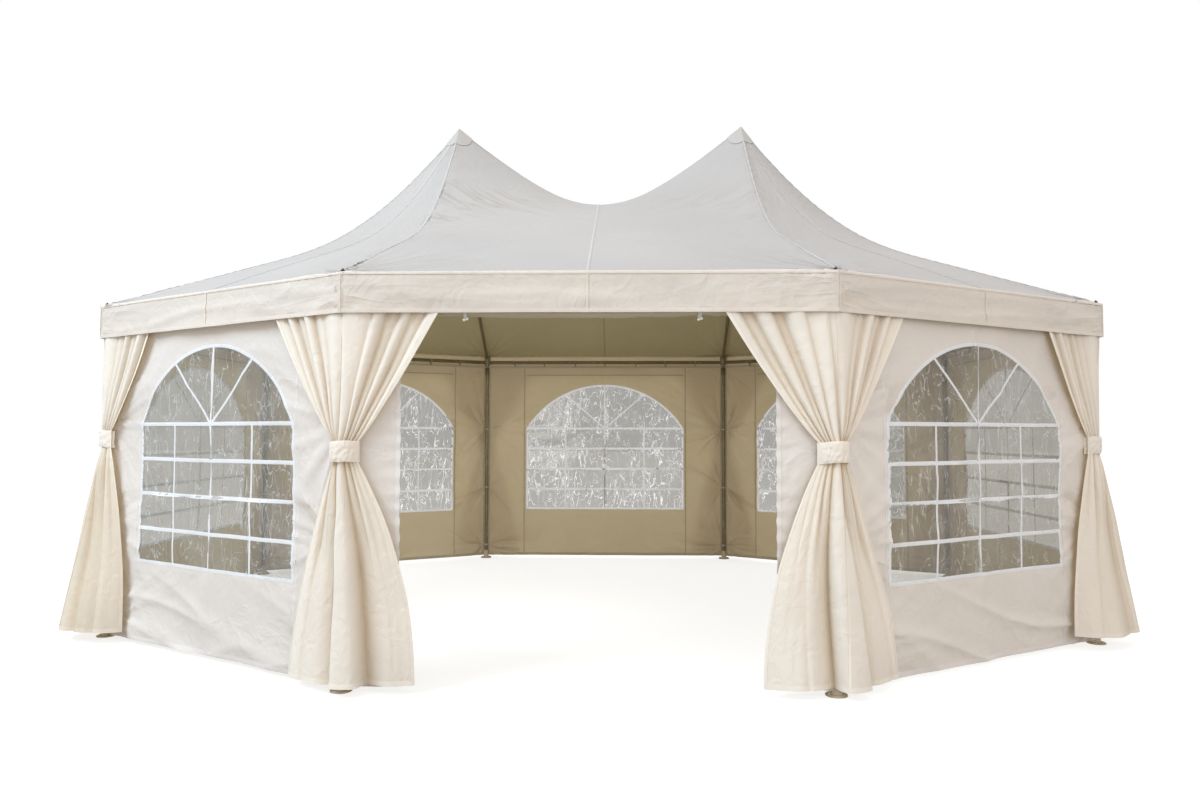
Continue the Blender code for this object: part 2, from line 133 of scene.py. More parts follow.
# %% Set up the studio
WHITE = (1.0, 1.0, 1.0, 1.0)
WORLD_STRENGTH = 1.0
FLOOR_HALF = 60.0
FLOOR_LIFT = 0.76
FLOOR_COLOUR = (0.38, 0.375, 0.36, 1.0)
LAMPS = {
    # place, point it is turned towards, size, power, colour
    "key_lamp": ((-8.7, -6.4, 9.0), (0.0, 0.0, 1.5), 6.0, 1200.0, (0.72, 0.87, 1.0)),
    "fill_lamp": ((5.0, -12.5, 3.4), (0.0, 0.0, 1.0), 8.0, 380.0, (1.0, 0.98, 0.95)),
    "inner_lamp": ((-1.0, -1.5, 1.60), (0.4, 2.6, 1.45), 0.9, 32.0, (1.0, 0.98, 0.93)),
}


def floor_material():
    """Pale matt floor: the camera sees it nearly white, and it lights the tent as a greyer one would."""
    material, tree, shader = new_material("pale_floor")
    shader.inputs["Base Color"].default_value = FLOOR_COLOUR
    shader.inputs["Roughness"].default_value = 1.0
    shader.inputs["Specular IOR Level"].default_value = 0.0
    shader.inputs["Emission Color"].default_value = WHITE
    shown = add_node(tree, "ShaderNodeLightPath").outputs["Is Camera Ray"]
    tree.links.new(math_node(tree, "MULTIPLY", shown, FLOOR_LIFT), shader.inputs["Emission Strength"])
    return material


def add_lamp(name, place, aim, size, power, colour):
    """A square soft lamp at a place, turned towards a point."""
    lamp = bpy.data.lights.new(name, "AREA")
    lamp.size, lamp.energy, lamp.color = size, power, colour
    holder = bpy.data.objects.new(name, lamp)
    bpy.context.scene.collection.objects.link(holder)
    holder.location = place
    holder.rotation_euler = (Vector(aim) - Vector(place)).to_track_quat("-Z", "Y").to_euler()
    return holder


def set_up_studio():
    """The sky, the floor, the lamps and a plain view transform."""
    world = bpy.data.worlds.new("studio")
    world.use_nodes = True
    sky = world.node_tree.nodes["Background"]
    sky.inputs["Color"].default_value = WHITE
    sky.inputs["Strength"].default_value = WORLD_STRENGTH
    bpy.context.scene.world = world
    bm = bmesh.new()
    bmesh.ops.create_grid(bm, x_segments=1, y_segments=1, size=FLOOR_HALF)
    mesh = bpy.data.meshes.new("floor")
    bm.to_mesh(mesh)
    bm.free()
    mesh.materials.append(floor_material())
    floor = bpy.data.objects.new("floor", mesh)
    bpy.context.scene.collection.objects.link(floor)
    lamps = {name: add_lamp(name, *told) for name, told in LAMPS.items()}
    lamps["inner_lamp"].visible_camera = False
    bpy.context.scene.view_settings.view_transform = "Standard"


set_up_studio()
print("studio ready")

# %% [markdown]
# ## Measures from the frame
# Every post stands on a corner of the octagon, so the posts' boxes give the plan. The boxes of a
# wall, a window and a roof panel give the heights. A bay is the stretch between two posts, and a
# point on it is told by u along it from its middle, its distance out from the post line, and z.

# %% Read the plan and the heights
CORNER_NAMES = (
    "front_left", "front_right", "right_front", "right_back",
    "back_right", "back_left", "left_back", "left_front",
)
BAY_NAMES = ("front", "front_right", "right", "back_right", "back", "back_left", "left", "front_left")


def middle_of(node):
    """Middle of a node's box in the frame."""
    low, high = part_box(node)
    return (low + high) / 2


CORNERS = {name: middle_of(f"post_{name}").xy for name in CORNER_NAMES}
BAY_NUMBER = {bay: number for number, bay in enumerate(BAY_NAMES)}
BAYS = {bay: (CORNER_NAMES[i], CORNER_NAMES[(i + 1) % 8]) for i, bay in enumerate(BAY_NAMES)}
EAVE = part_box("post_front_left")[1].z
ROOF_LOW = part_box("roof_front")[0].z
VALANCE = EAVE - ROOF_LOW
ROOF_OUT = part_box("roof_back")[1].y - CORNERS["back_left"].y
WALL_LOW, WALL_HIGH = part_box("wall_back")[0].z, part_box("wall_back")[1].z
WALL_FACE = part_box("wall_back")[0].y - CORNERS["back_left"].y
CLOTH_HALF = 0.002
WALL_MID = WALL_FACE + CLOTH_HALF
BEAM_Z = middle_of("eave_tube_back").z
POST_RADIUS = (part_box("eave_tube_back")[1].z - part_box("eave_tube_back")[0].z) / 2
SILL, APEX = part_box("window_back")[0].z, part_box("window_back")[1].z
WINDOW_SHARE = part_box("window_back")[1].x / CORNERS["back_right"].x
SPRING = 1.47  # where the arch of a window starts
UP = Vector((0.0, 0.0, 1.0))
print("eave", round(EAVE, 3), "valance", round(VALANCE, 3), "roof overhang", round(ROOF_OUT, 3))

# %% Points along a bay


def bay_frame(bay):
    """Middle, direction, outward normal and length of a bay's post line."""
    start, end = (CORNERS[name] for name in BAYS[bay])
    along = (end - start).normalized()
    return (start + end) / 2, along, Vector((along.y, -along.x)), (end - start).length


def bay_point(bay, u, out, z):
    """World point at u along a bay from its middle, out from the post line, and up."""
    middle, along, outward, _ = bay_frame(bay)
    flat = middle + along * u + outward * out
    return Vector((flat.x, flat.y, z))


def corner_bays(corner):
    """The bay that ends at a corner and the bay that starts there."""
    place = CORNER_NAMES.index(corner)
    return BAY_NAMES[place - 1], BAY_NAMES[place]


def corner_offset(corner, out):
    """Where the two post lines of a corner meet when both are moved outwards."""
    before, after = corner_bays(corner)
    normal_a, normal_b = bay_frame(before)[2], bay_frame(after)[2]
    bisector = (normal_a + normal_b).normalized()
    return CORNERS[corner] + bisector * (out / bisector.dot(normal_a))


print({bay: round(bay_frame(bay)[3], 3) for bay in BAYS})

# %% [markdown]
# ## How cloth is laid
# A piece of cloth starts as a flat grid, the way it starts on the cutting table. Each vertex is
# then put where it hangs, by a function of its place on the flat grid: u runs to the right as seen
# from outside and v runs down. The UV map keeps the flat sheet in metres, so that the weave and
# the stitches stay at their true size wherever the cloth bends.

# %% Cloth helpers
WELD = 1e-4


def faces_of(verts):
    """The faces that touch any of these vertices, each once."""
    return dict.fromkeys(face for vert in verts for face in vert.link_faces)


def edges_of(verts):
    """The edges that touch any of these vertices, each once."""
    return list(dict.fromkeys(edge for vert in verts for edge in vert.link_edges))


def area_of(bm):
    """Area of the cloth as it hangs."""
    return sum(face.calc_area() for face in bm.faces)


def lay_cloth(bm, columns, rows, place, size, corner=(0.0, 0.0)):
    """Add a flat grid with its metres as UVs, lay it by place(u, v), and return each vertex's (u, v).

    size is the width and length of the flat sheet, and corner the UV of its upper left corner.
    """
    layer = bm.loops.layers.uv.verify()
    verts = bmesh.ops.create_grid(bm, x_segments=columns, y_segments=rows, size=0.5)["verts"]
    flat = {vert: (vert.co.x + 0.5, 0.5 - vert.co.y) for vert in verts}
    for face in faces_of(verts):
        face.smooth = True
        for loop in face.loops:
            u, v = flat[loop.vert]
            loop[layer].uv = (corner[0] + u * size[0], corner[1] - v * size[1])
    for vert in verts:
        vert.co = place(*flat[vert])
    return flat


def lifted(place, u, v, lift, step=0.002):
    """The point of a laid sheet at (u, v), lifted off its outer side."""
    here = place(u, v)
    across = place(min(u + step, 1.0), v) - place(max(u - step, 0.0), v)
    down = place(u, min(v + step, 1.0)) - place(u, max(v - step, 0.0))
    normal = down.cross(across)
    return here + normal.normalized() * lift if normal.length > 1e-9 else here


def finish_piece(bm, name, materials, weld=0.0):
    """Weld the mesh if asked, put it in the scene on the tent and give it its finishes."""
    if weld:
        bmesh.ops.remove_doubles(bm, verts=bm.verts, dist=weld)
    mesh = bpy.data.meshes.new(name)
    bm.to_mesh(mesh)
    bm.free()
    for material in materials:
        mesh.materials.append(material)
    piece = bpy.data.objects.new(name, mesh)
    bpy.context.scene.collection.objects.link(piece)
    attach(piece, "root")
    return piece


def tell_drag(bm, laid, drag):
    """Keep where cloth is pulled: drag(u, v) gives the places across and along creases, and strength."""
    layer = bm.verts.layers.float_vector["drag"]
    for vert, (u, v) in laid.items():
        vert[layer] = drag(u, v)


def smooth_noise(x, y, seed):
    """Soft noise from -1 to 1 over a sheet; the seed picks another sheet of it."""
    return noise.noise(Vector((x, y, seed * 7.31)))


def fade(distance, reach):
    """Falls from 1 where the distance is 0; the reach tells how far it lasts."""
    return math.exp(-distance / reach)


def ease(x):
    """Soft step from 0 to 1."""
    x = max(0.0, min(1.0, x))
    return x * x * (3.0 - 2.0 * x)


print("cloth helpers ready")

# %% [markdown]
# ## Finishes
# Tent cloth is a tight plain weave with a thin coating. What the eye sees first is its colour,
# then soft patches where it is creased or a little dusty, with painted shade along the creases, and
# only from close up the threads and the stitches. Each of these is a node group, built once, so that
# roof, walls and curtains can share it with their own values. Light also comes through the cloth, so
# its material mixes a translucent shader with the surface.

# %% Node helpers


def blend_colour(tree, factor, first, second, kind="MIX"):
    """Mix two colours by a factor; returns the colour socket."""
    solid = lambda colour: (*colour, 1.0) if isinstance(colour, tuple) else colour
    inputs = {0: factor, 6: solid(first), 7: solid(second)}
    return add_node(tree, "ShaderNodeMix", inputs, data_type="RGBA", blend_type=kind).outputs[2]


def noise_node(tree, place, seed, scale, detail, **more):
    """Noise at a place; each seed gives another pattern, and more fills its other sockets."""
    inputs = {"Vector": place, "W": seed, "Scale": scale, "Detail": detail, **more}
    return add_node(tree, "ShaderNodeTexNoise", inputs, noise_dimensions="4D")


def map_node(tree, value, low, high, to_low=0.0, to_high=1.0):
    """Carry a value from one range over to another, clamped there."""
    inputs = {0: value, 1: low, 2: high, 3: to_low, 4: to_high}
    return add_node(tree, "ShaderNodeMapRange", inputs).outputs[0]


def bump_node(tree, strength, distance, height, normal=None):
    """Bend the normal by a height, on top of a normal that is already bent."""
    inputs = {"Strength": strength, "Distance": distance, "Height": height}
    if normal is not None:
        inputs["Normal"] = normal
    return add_node(tree, "ShaderNodeBump", inputs).outputs[0]


def parts_of(tree, vector):
    """The x, y and z sockets of a vector."""
    return add_node(tree, "ShaderNodeSeparateXYZ", {0: vector}).outputs


def start_group(name, inputs, outputs):
    """A shader node group: its tree, the sockets it is given, and those of its result."""
    tree = bpy.data.node_groups.new(name, "ShaderNodeTree")
    for in_out, sockets in (("INPUT", inputs), ("OUTPUT", outputs)):
        for label, kind in sockets:
            tree.interface.new_socket(label, in_out=in_out, socket_type=kind)
    return tree, tree.nodes.new("NodeGroupInput").outputs, tree.nodes.new("NodeGroupOutput").inputs


FLOAT, VECTOR = "NodeSocketFloat", "NodeSocketVector"
print("node helpers ready")

# %% Group: plain weave


def weave_group():
    """Threads over and under each other, as a height for a bump."""
    tree, given, result = start_group(
        "plain_weave", [("Flat", VECTOR), ("Threads per metre", FLOAT)], [("Height", FLOAT)]
    )
    scaled = add_node(
        tree, "ShaderNodeVectorMath", {0: given["Flat"], 3: given["Threads per metre"]}, operation="SCALE"
    )
    warp, weft = (
        math_node(tree, "SINE", math_node(tree, "MULTIPLY", part, 2.0 * math.pi))
        for part in parts_of(tree, scaled.outputs[0])[:2]
    )
    crossed = math_node(tree, "MULTIPLY", warp, weft)
    tree.links.new(math_node(tree, "MULTIPLY_ADD", crossed, 0.5), result["Height"])
    return tree


WEAVE = weave_group()

# %% Group: crumple


def crumple_group():
    """Soft creases of folded cloth: a fine and a broad noise, bent so that they run in lines."""
    tree, given, result = start_group(
        "crumple", [("Flat", VECTOR), ("Scale", FLOAT), ("Seed", FLOAT)],
        [("Height", FLOAT), ("Patch", FLOAT)],
    )
    flat, seed, scale = given["Flat"], given["Seed"], given["Scale"]
    broad = noise_node(tree, flat, seed, scale, 3.0, Roughness=0.55, Distortion=0.6)
    ridge = math_node(tree, "ABSOLUTE", math_node(tree, "SUBTRACT", broad.outputs[0], 0.5))
    crease = math_node(tree, "SUBTRACT", 0.5, math_node(tree, "MULTIPLY", ridge, 2.0))
    tree.links.new(crease, result["Height"])
    patch = noise_node(tree, flat, seed, math_node(tree, "MULTIPLY", scale, 0.3), 2.0)
    tree.links.new(patch.outputs[0], result["Patch"])
    return tree


CRUMPLE = crumple_group()

# %% Group: creases of pulled cloth


def drag_group():
    """Creases told by a piece's own attribute, x across them, y along, z strength; Shade is painted shade.
    """
    tree, given, result = start_group(
        "drag_creases", [("Drag", VECTOR), ("Seed", FLOAT)], [("Height", FLOAT), ("Shade", FLOAT)]
    )
    across, along, strength = parts_of(tree, given["Drag"])
    flat = add_node(tree, "ShaderNodeCombineXYZ", {0: across, 1: along})
    folds = noise_node(tree, flat.outputs[0], given["Seed"], 1.0, 1.5, Roughness=0.45)
    off = math_node(tree, "SUBTRACT", folds.outputs[0], 0.5)
    near = math_node(tree, "EXPONENT", math_node(tree, "MULTIPLY", math_node(tree, "ABSOLUTE", off), -11.0))
    tree.links.new(math_node(tree, "MULTIPLY", near, strength), result["Height"])
    # painted shade: the flank of each crease on one side of its crest is darkened
    behind = math_node(tree, "MULTIPLY", near, math_node(tree, "GREATER_THAN", off, 0.0))
    tree.links.new(math_node(tree, "MULTIPLY", behind, strength, clamp=True), result["Shade"])
    return tree


DRAG = drag_group()

# %% Group: line of stitches


def stitch_group():
    """Mask of a row of thread dashes that runs along u at a given v."""
    tree, given, result = start_group(
        "stitch_line", [("Flat", VECTOR), ("Row", FLOAT), ("Stitch", FLOAT), ("Thread width", FLOAT)],
        [("Thread", FLOAT)],
    )
    along, across, _ = parts_of(tree, given["Flat"])
    step = math_node(tree, "FRACT", math_node(tree, "DIVIDE", along, given["Stitch"]))
    dash = math_node(tree, "LESS_THAN", step, 0.72)
    off_row = math_node(tree, "ABSOLUTE", math_node(tree, "SUBTRACT", across, given["Row"]))
    on_row = math_node(tree, "LESS_THAN", off_row, given["Thread width"])
    tree.links.new(math_node(tree, "MULTIPLY", dash, on_row), result["Thread"])
    return tree


STITCH = stitch_group()
print("groups", [group.name for group in bpy.data.node_groups])

# %% [markdown]
# ### Tent cloth
# One function makes every cloth finish. It takes the colour of the coated side, the colour of the
# light that comes through, how much comes through, and how strongly the cloth is creased.

# %% Cloth materials
THREADS_PER_METRE = 900.0
# colours multiplied in as painted shade: along creases, in curtain folds and low on the outer curtains
DRAG_SHADE, FOLD_SHADE = (0.72, 0.67, 0.60), (0.66, 0.56, 0.42)


def cloth_material(name, outside, inside, through, share, crease, roughness, scale, seed, behind=None):
    """Coated tent cloth: an outer and an inner colour, soft patches, weave, creases, light coming through.

    share is how much of the light comes through; behind is that share seen from the back, if it differs.
    """
    material, tree, surface = new_material(name)
    flat = add_node(tree, "ShaderNodeUVMap").outputs[0]
    group = lambda shared, inputs: add_node(tree, "ShaderNodeGroup", inputs, node_tree=shared).outputs
    crumple = group(CRUMPLE, {"Flat": flat, "Scale": scale, "Seed": seed})
    weave = group(WEAVE, {"Flat": flat, "Threads per metre": THREADS_PER_METRE})
    drag = add_node(tree, "ShaderNodeAttribute", attribute_name="drag").outputs["Vector"]
    pulled = group(DRAG, {"Drag": drag, "Seed": seed})
    back = add_node(tree, "ShaderNodeNewGeometry").outputs["Backfacing"]
    side = blend_colour(tree, back, outside, inside)
    dusty = blend_colour(tree, back, tuple(c * 0.93 for c in outside), tuple(c * 0.90 for c in inside))
    plain = blend_colour(tree, map_node(tree, crumple["Patch"], 0.35, 0.68), side, dusty)
    # painted shade on one flank of each crease
    shaded = blend_colour(tree, pulled["Shade"], plain, DRAG_SHADE, "MULTIPLY")
    # painted shade from the curtains' fold attribute: in their fold valleys and low on the outer curtains
    fold = add_node(tree, "ShaderNodeAttribute", attribute_name="fold").outputs["Fac"]
    tree.links.new(blend_colour(tree, fold, shaded, FOLD_SHADE, "MULTIPLY"), surface.inputs["Base Color"])
    surface.inputs["Roughness"].default_value = roughness
    surface.inputs["Sheen Weight"].default_value = 0.05
    creased = bump_node(tree, crease, 0.020, crumple["Height"])
    dragged = bump_node(tree, 0.9, 0.007, pulled["Height"], creased)
    tree.links.new(bump_node(tree, 0.25, 0.0004, weave["Height"], dragged), surface.inputs["Normal"])
    glow = add_node(tree, "ShaderNodeBsdfTranslucent", {"Color": (*through, 1.0), "Normal": dragged})
    if behind is not None:
        share = map_node(tree, back, 0.0, 1.0, share, behind)
    mixed = add_node(tree, "ShaderNodeMixShader", {0: share, 1: surface.outputs[0], 2: glow.outputs[0]})
    tree.links.new(mixed.outputs[0], tree.nodes["Material Output"].inputs["Surface"])
    return material


CREAM, WALL_CREAM, CURTAIN_CREAM = (0.775, 0.70, 0.63), (0.79, 0.725, 0.68), (0.93, 0.855, 0.765)
ROOF_WHITE = (0.53, 0.498, 0.48)
# colour of the inner side and of the light that comes through
CREAM_BACK = ((0.72, 0.62, 0.45), (0.82, 0.64, 0.36))
ROOF_BACK = ((0.44, 0.375, 0.23), (0.34, 0.275, 0.135))
# after the colours: share of light, depth of the creases, roughness, scale of the patches, seed
ROOF_CLOTH = cloth_material("roof_cloth", ROOF_WHITE, *ROOF_BACK, 0.18, 0.45, 0.60, 3.0, 1.0)
VALANCE_CLOTH = cloth_material("valance_cloth", CREAM, *CREAM_BACK, 0.22, 0.45, 0.7, 6.0, 2.0)
WALL_CLOTH = cloth_material("wall_cloth", WALL_CREAM, *CREAM_BACK, 0.21, 0.60, 0.72, 4.0, 3.0)
CURTAIN_CLOTH = cloth_material("curtain_cloth", CURTAIN_CREAM, *CREAM_BACK, 0.24, 0.40, 0.75, 7.0, 4.0)
print("cloth finishes", [m.name for m in bpy.data.materials])

# %% Sewn tapes and hems
STITCH_LENGTH, THREAD_WIDTH = 0.004, 0.0005


def tape_material(name, colour, inside, through, share, row, behind=None):
    """A hem or tape of doubled cloth with a row of stitches at both edges."""
    material = cloth_material(name, colour, inside, through, share, 0.2, 0.7, 9.0, 5.0, behind)
    tree = material.node_tree
    base, normal = (tree.nodes["Principled BSDF"].inputs[label] for label in ("Base Color", "Normal"))
    flat = add_node(tree, "ShaderNodeUVMap").outputs[0]
    told = {"Flat": flat, "Stitch": STITCH_LENGTH, "Thread width": THREAD_WIDTH}
    mask = math_node(tree, "MAXIMUM", *(
        add_node(tree, "ShaderNodeGroup", {**told, "Row": edge}, node_tree=STITCH).outputs["Thread"]
        for edge in (row, -row)
    ))
    thread = tuple(min(1.0, c * 1.08) for c in colour)
    tree.links.new(blend_colour(tree, mask, base.links[0].from_socket, thread), base)
    tree.links.new(bump_node(tree, 0.6, 0.0006, mask, normal.links[0].from_socket), normal)
    return material


# after the colours: share of light, and how far the stitches are from the middle of the tape
HEM_CLOTH = tape_material("hem_cloth", CREAM, *CREAM_BACK, 0.20, 0.007)
WALL_HEM_CLOTH = tape_material(
    "wall_hem_cloth", WALL_CREAM, (0.56, 0.475, 0.33), (0.10, 0.075, 0.04), 0.13, 0.007
)
CURTAIN_HEM_CLOTH = tape_material("curtain_hem_cloth", CURTAIN_CREAM, *CREAM_BACK, 0.18, 0.007)
ROOF_TAPE = tape_material("roof_tape", tuple(c * 1.1 for c in ROOF_WHITE), *ROOF_BACK, 0.12, 0.004)
WHITE_TAPE = tape_material(
    "white_tape", (0.95, 0.94, 0.95), (0.90, 0.90, 0.91), (0.97, 0.97, 0.98), 0.42, 0.006
)
# on the back windows the light behind the bars comes through them
THIN_TAPE = tape_material(
    "thin_tape", (0.93, 0.93, 0.94), (0.95, 0.95, 0.96), (0.98, 0.98, 0.99), 0.1, 0.006, behind=0.88
)
print("tapes ready")


# %% [markdown]
# ## The roof
# On the real tent the roof is one sheet: eight gores, sewn edge to edge, pulled over two peaks and
# held down at the eight eave corners, with a band hanging down all round. It is built that way.
# Each gore is laid as a flat grid, the gores are welded along their shared edges, and only then is
# the whole sheet creased along its own surface, so that no seam can open. The form of the gores
# repeats the frame's: straight lower hips that bend up to a point, and a sag between the points.

# %% Form of the roof
PEAK_X, PEAK_Z, SADDLE_Z = 1.21, 4.03, 3.36
HIP_RISE, HIP_BEND, HIP_POWER = 1.00, 0.48, 1.78
RIDGE_ROUND, SADDLE_ROUND = 0.5, 0.04
EAVE_CORNERS = {corner: corner_offset(corner, ROOF_OUT) for corner in CORNER_NAMES}
EAVE_X, EAVE_Y = EAVE_CORNERS["front_right"].x, -EAVE_CORNERS["front_right"].y
WIDE_BAYS = ("front", "back")
GORE_RUN = 2.8  # metres from the peak down a gore to the eave


def eave_ends(bay):
    """The two eave corners of a bay."""
    return tuple(EAVE_CORNERS[name] for name in BAYS[bay])


def rounded_share(s, rounding):
    """Rises from 0 to 1 with a rounded start."""
    return (math.hypot(s, rounding) - rounding) / (math.hypot(1.0, rounding) - rounding)


def hip_height(t):
    """Height of a hip at t: straight from the eave, then bending up to the peak, with a smooth start."""
    span = 0.08 * min(1.0, t / 0.1)
    steps = [max(0.0, 1.0 - (t + span * k) / HIP_BEND) ** HIP_POWER for k in (-1.0, -0.5, 0.0, 0.5, 1.0)]
    return EAVE + HIP_RISE * (1.0 - t) + (PEAK_Z - EAVE - HIP_RISE) * sum(steps) / 5.0


def wide_height(x, y):
    """Height of the front and back gores, which hang between the two peaks."""
    t = min(1.0, abs(y) / EAVE_Y)
    s = min(1.0, abs(x) / (PEAK_X + (EAVE_X - PEAK_X) * t))
    middle = SADDLE_Z - (SADDLE_Z - EAVE) * rounded_share(t, SADDLE_ROUND)
    return middle + (hip_height(t) - middle) * rounded_share(s, RIDGE_ROUND)


def end_share(x, y):
    """Plan fraction from a peak (0) to the eave (1) on the three gores round it."""
    side = 1.0 if x > 0.0 else -1.0
    from_peak = Vector((x * side - PEAK_X, -abs(y)))
    shares = []
    for bay in ("front_right", "right"):
        outward = bay_frame(bay)[2]
        reach = (EAVE_CORNERS[BAYS[bay][0]] - Vector((PEAK_X, 0.0))).dot(outward)
        shares.append(from_peak.dot(outward) / reach)
    return max(0.0, *shares)


def roof_height(x, y):
    """Height of the roof anywhere in its plan."""
    hip_x = PEAK_X + (EAVE_X - PEAK_X) * min(1.0, abs(y) / EAVE_Y)
    return wide_height(x, y) if abs(x) < hip_x else hip_height(end_share(x, y))


def gore_point(bay, u, t):
    """Point of a gore: u from its left to its right edge as seen from outside, t down to the eave."""
    start, end = eave_ends(bay)
    side = 0.0 if bay in WIDE_BAYS else math.copysign(1.0, start.x + end.x)
    top_a = Vector((PEAK_X * (side or math.copysign(1.0, start.x)), 0.0))
    top_b = Vector((PEAK_X * (side or math.copysign(1.0, end.x)), 0.0))
    flat = top_a.lerp(top_b, u).lerp(start.lerp(end, u), t)
    z = hip_height(t) if side else wide_height(flat.x, flat.y)
    return Vector((flat.x, flat.y, z))


print("height of the saddle and of a peak", [round(roof_height(x, 0.0), 3) for x in (0.0, PEAK_X)])

# %% [markdown]
# ### Creases of the roof
# Cloth pulled to a point cannot lie quite flat: fine pleats run down from the peak, small puckers
# follow every seam because the thread is a little shorter than the cloth, and the gores belly
# between their seams. Each effect is a small lift off the surface that fades with distance. The
# front gore shows the most creases in the picture, so it and the back one get the strongest.

# %% Roof relief
PEAKS = (Vector((PEAK_X, 0.0)), Vector((-PEAK_X, 0.0)))
SEAM_REACH = 0.09
PLEATS_ROUND_PEAK = 34
# how high the creases stand, in metres
SEAM_PUCKER, MIDDLE_PUCKER, EAVE_PUCKER = 0.0045, 0.003, 0.003
HIP_CREASE, BELLY, PLEAT, STREAK, CORNER_FAN = 0.015, 0.010, 0.0025, 0.008, 0.016
# how hard the cloth is pulled beside the left and the right seam of a gore
HIP_PULL = {("front", 0): 1.0, ("back", 0): 0.7, ("front", 1): 0.4}
OTHER_PULL = 0.1


def pucker(along, off_seam, seed, depth, pitch=0.075, reach=SEAM_REACH):
    """Small gathers across a seam: along it in metres, and the distance from it."""
    wander = 0.6 * smooth_noise(along * 4.0, seed, 1.0)
    gather = math.sin(2.0 * math.pi * (along / pitch + wander)) * 0.5 + 0.5
    patchy = 0.35 + 0.65 * ease(0.5 + smooth_noise(along * 1.3, seed, 2.0))
    return -depth * patchy * gather * fade(abs(off_seam), reach)


def ridged(x, y, seed):
    """Noise with sharp crests, 0 to 1, like the creases of pulled cloth."""
    return (1.0 - min(1.0, 2.2 * abs(smooth_noise(x, y, seed)))) ** 2


def gore_span(bay, t):
    """About how wide a gore is at t: the end gores come to a point, the wide ones hardly narrow."""
    start, end = eave_ends(bay)
    return (end - start).length * (1.0 - 0.1 * (1.0 - t) if bay in WIDE_BAYS else t)


def roof_relief(bay, u, t):
    """How far a gore is lifted at (u, t), in metres."""
    here = gore_point(bay, u, t)
    start, end = eave_ends(bay)
    seed, width, down = BAY_NUMBER[bay] + 1.0, gore_span(bay, t), 3.0 * t
    lift = 0.0
    for side, off in enumerate((u * width, (1.0 - u) * width)):
        lift += pucker(down, off, side + 1.0 + seed * 3.0, SEAM_PUCKER)
        high = ease(t * 7.0) * ease((0.62 - t) * 4.0) * ease(off * 12.0)
        drags = ridged(down * 5.0 + off * 3.6, off * 1.4 - down * 0.5, seed * 4.0 + side + 1.0)
        lift += HIP_CREASE * high * HIP_PULL.get((bay, side), OTHER_PULL) * drags * fade(off, 0.34)
    lift += pucker(down, (u - 0.5) * width, seed * 5.0, MIDDLE_PUCKER, 0.09)
    edge = min(u, 1.0 - u) * 2.0
    belly = 0.6 + smooth_noise(u * 2.1, t * 2.3, seed)
    lift += BELLY * ease(edge * 1.6) * ease((1.0 - t) * 4.0) * ease(t * 3.0) * belly
    peak = min(PEAKS, key=lambda spot: (here.xy - spot).length)
    offset = here.xy - peak
    if offset.length > 1e-6:
        angle = math.atan2(offset.y, offset.x)
        pleats = math.sin(PLEATS_ROUND_PEAK * angle + 3.0 * smooth_noise(angle * 2.0, offset.length, 3.0))
        lift *= ease((offset.length - 0.10) / 0.10)
        lift += PLEAT * pleats * fade(offset.length, 0.16) * ease((offset.length - 0.11) / 0.05)
        streak = smooth_noise(angle * 4.0, offset.length * 0.8, 4.0 + peak.x)
        lift += STREAK * streak * fade(offset.length, 0.6) * ease(offset.length / 0.4)
    for corner, u_corner in ((start, 0.0), (end, 1.0)):
        offset = here.xy - corner
        angle = math.atan2(offset.y, offset.x)
        fan = ridged(angle * 6.0, offset.length * 1.2, 5.0 + u_corner + seed) - 0.3
        lift += CORNER_FAN * fan * fade(offset.length, 0.34) * ease(offset.length / 0.10)
    lift += pucker(u * width, (1.0 - t) * GORE_RUN, seed * 9.0, EAVE_PUCKER, 0.05)
    return lift


print("relief in the middle of the front gore", round(roof_relief("front", 0.5, 0.5) * 1000, 2), "mm")

# %% Lay the gores and the band below them
WIDE_COLUMNS, END_COLUMNS, GORE_ROWS, BAND_ROWS = 110, 76, 96, 12
SHEET_SINK = 0.001  # how far the sheet lies below the surface it is shaped on
BAND_CREASE, BAND_SLANT, BAND_WAVE, BAND_FOLD = 0.012, 0.008, 0.010, 0.009


def band_point(bay, u, v):
    """Point of the hanging band: u along the eave, v down from it."""
    top = gore_point(bay, u, 1.0)
    return Vector((top.x, top.y, top.z - VALANCE * v))


def band_relief(bay, u, v):
    """Waves of the band: sharper near the corners, where the roof's pull ends, and free below."""
    seed = BAY_NUMBER[bay] + 20.0
    length = bay_frame(bay)[3]
    along = u * length
    to_corner = min(u, 1.0 - u) * length
    pulled = fade(to_corner, 0.22)
    turn = math.copysign(1.0, 0.5 - u)
    crest = ridged(along * 6.0 - turn * v * 1.1, v * 1.3 + turn * along, seed) - 0.3
    creases = crest * BAND_CREASE * pulled
    slants = smooth_noise(along * 5.0 - v * 1.6 * math.copysign(1.0, u - 0.5), v * 1.1, seed + 1.0)
    free = BAND_WAVE * smooth_noise(along * 2.2, 0.3, seed + 2.0) * v
    level = ridged(along * 0.9, v * 2.2 + 0.35 * along, seed + 4.0) - 0.3
    folds = BAND_FOLD * level * ease(v * 3.0) * ease((1.0 - v) * 4.0)
    sewn = pucker(along, v * VALANCE, seed, 0.006, 0.09, 0.035)
    hem = pucker(along, (1.0 - v) * VALANCE, seed + 3.0, 0.002, 0.03) * 0.7
    edge = ease(to_corner / 0.05)
    return (creases + slants * BAND_SLANT * v * (0.4 + pulled) + free + folds) * edge + sewn + hem


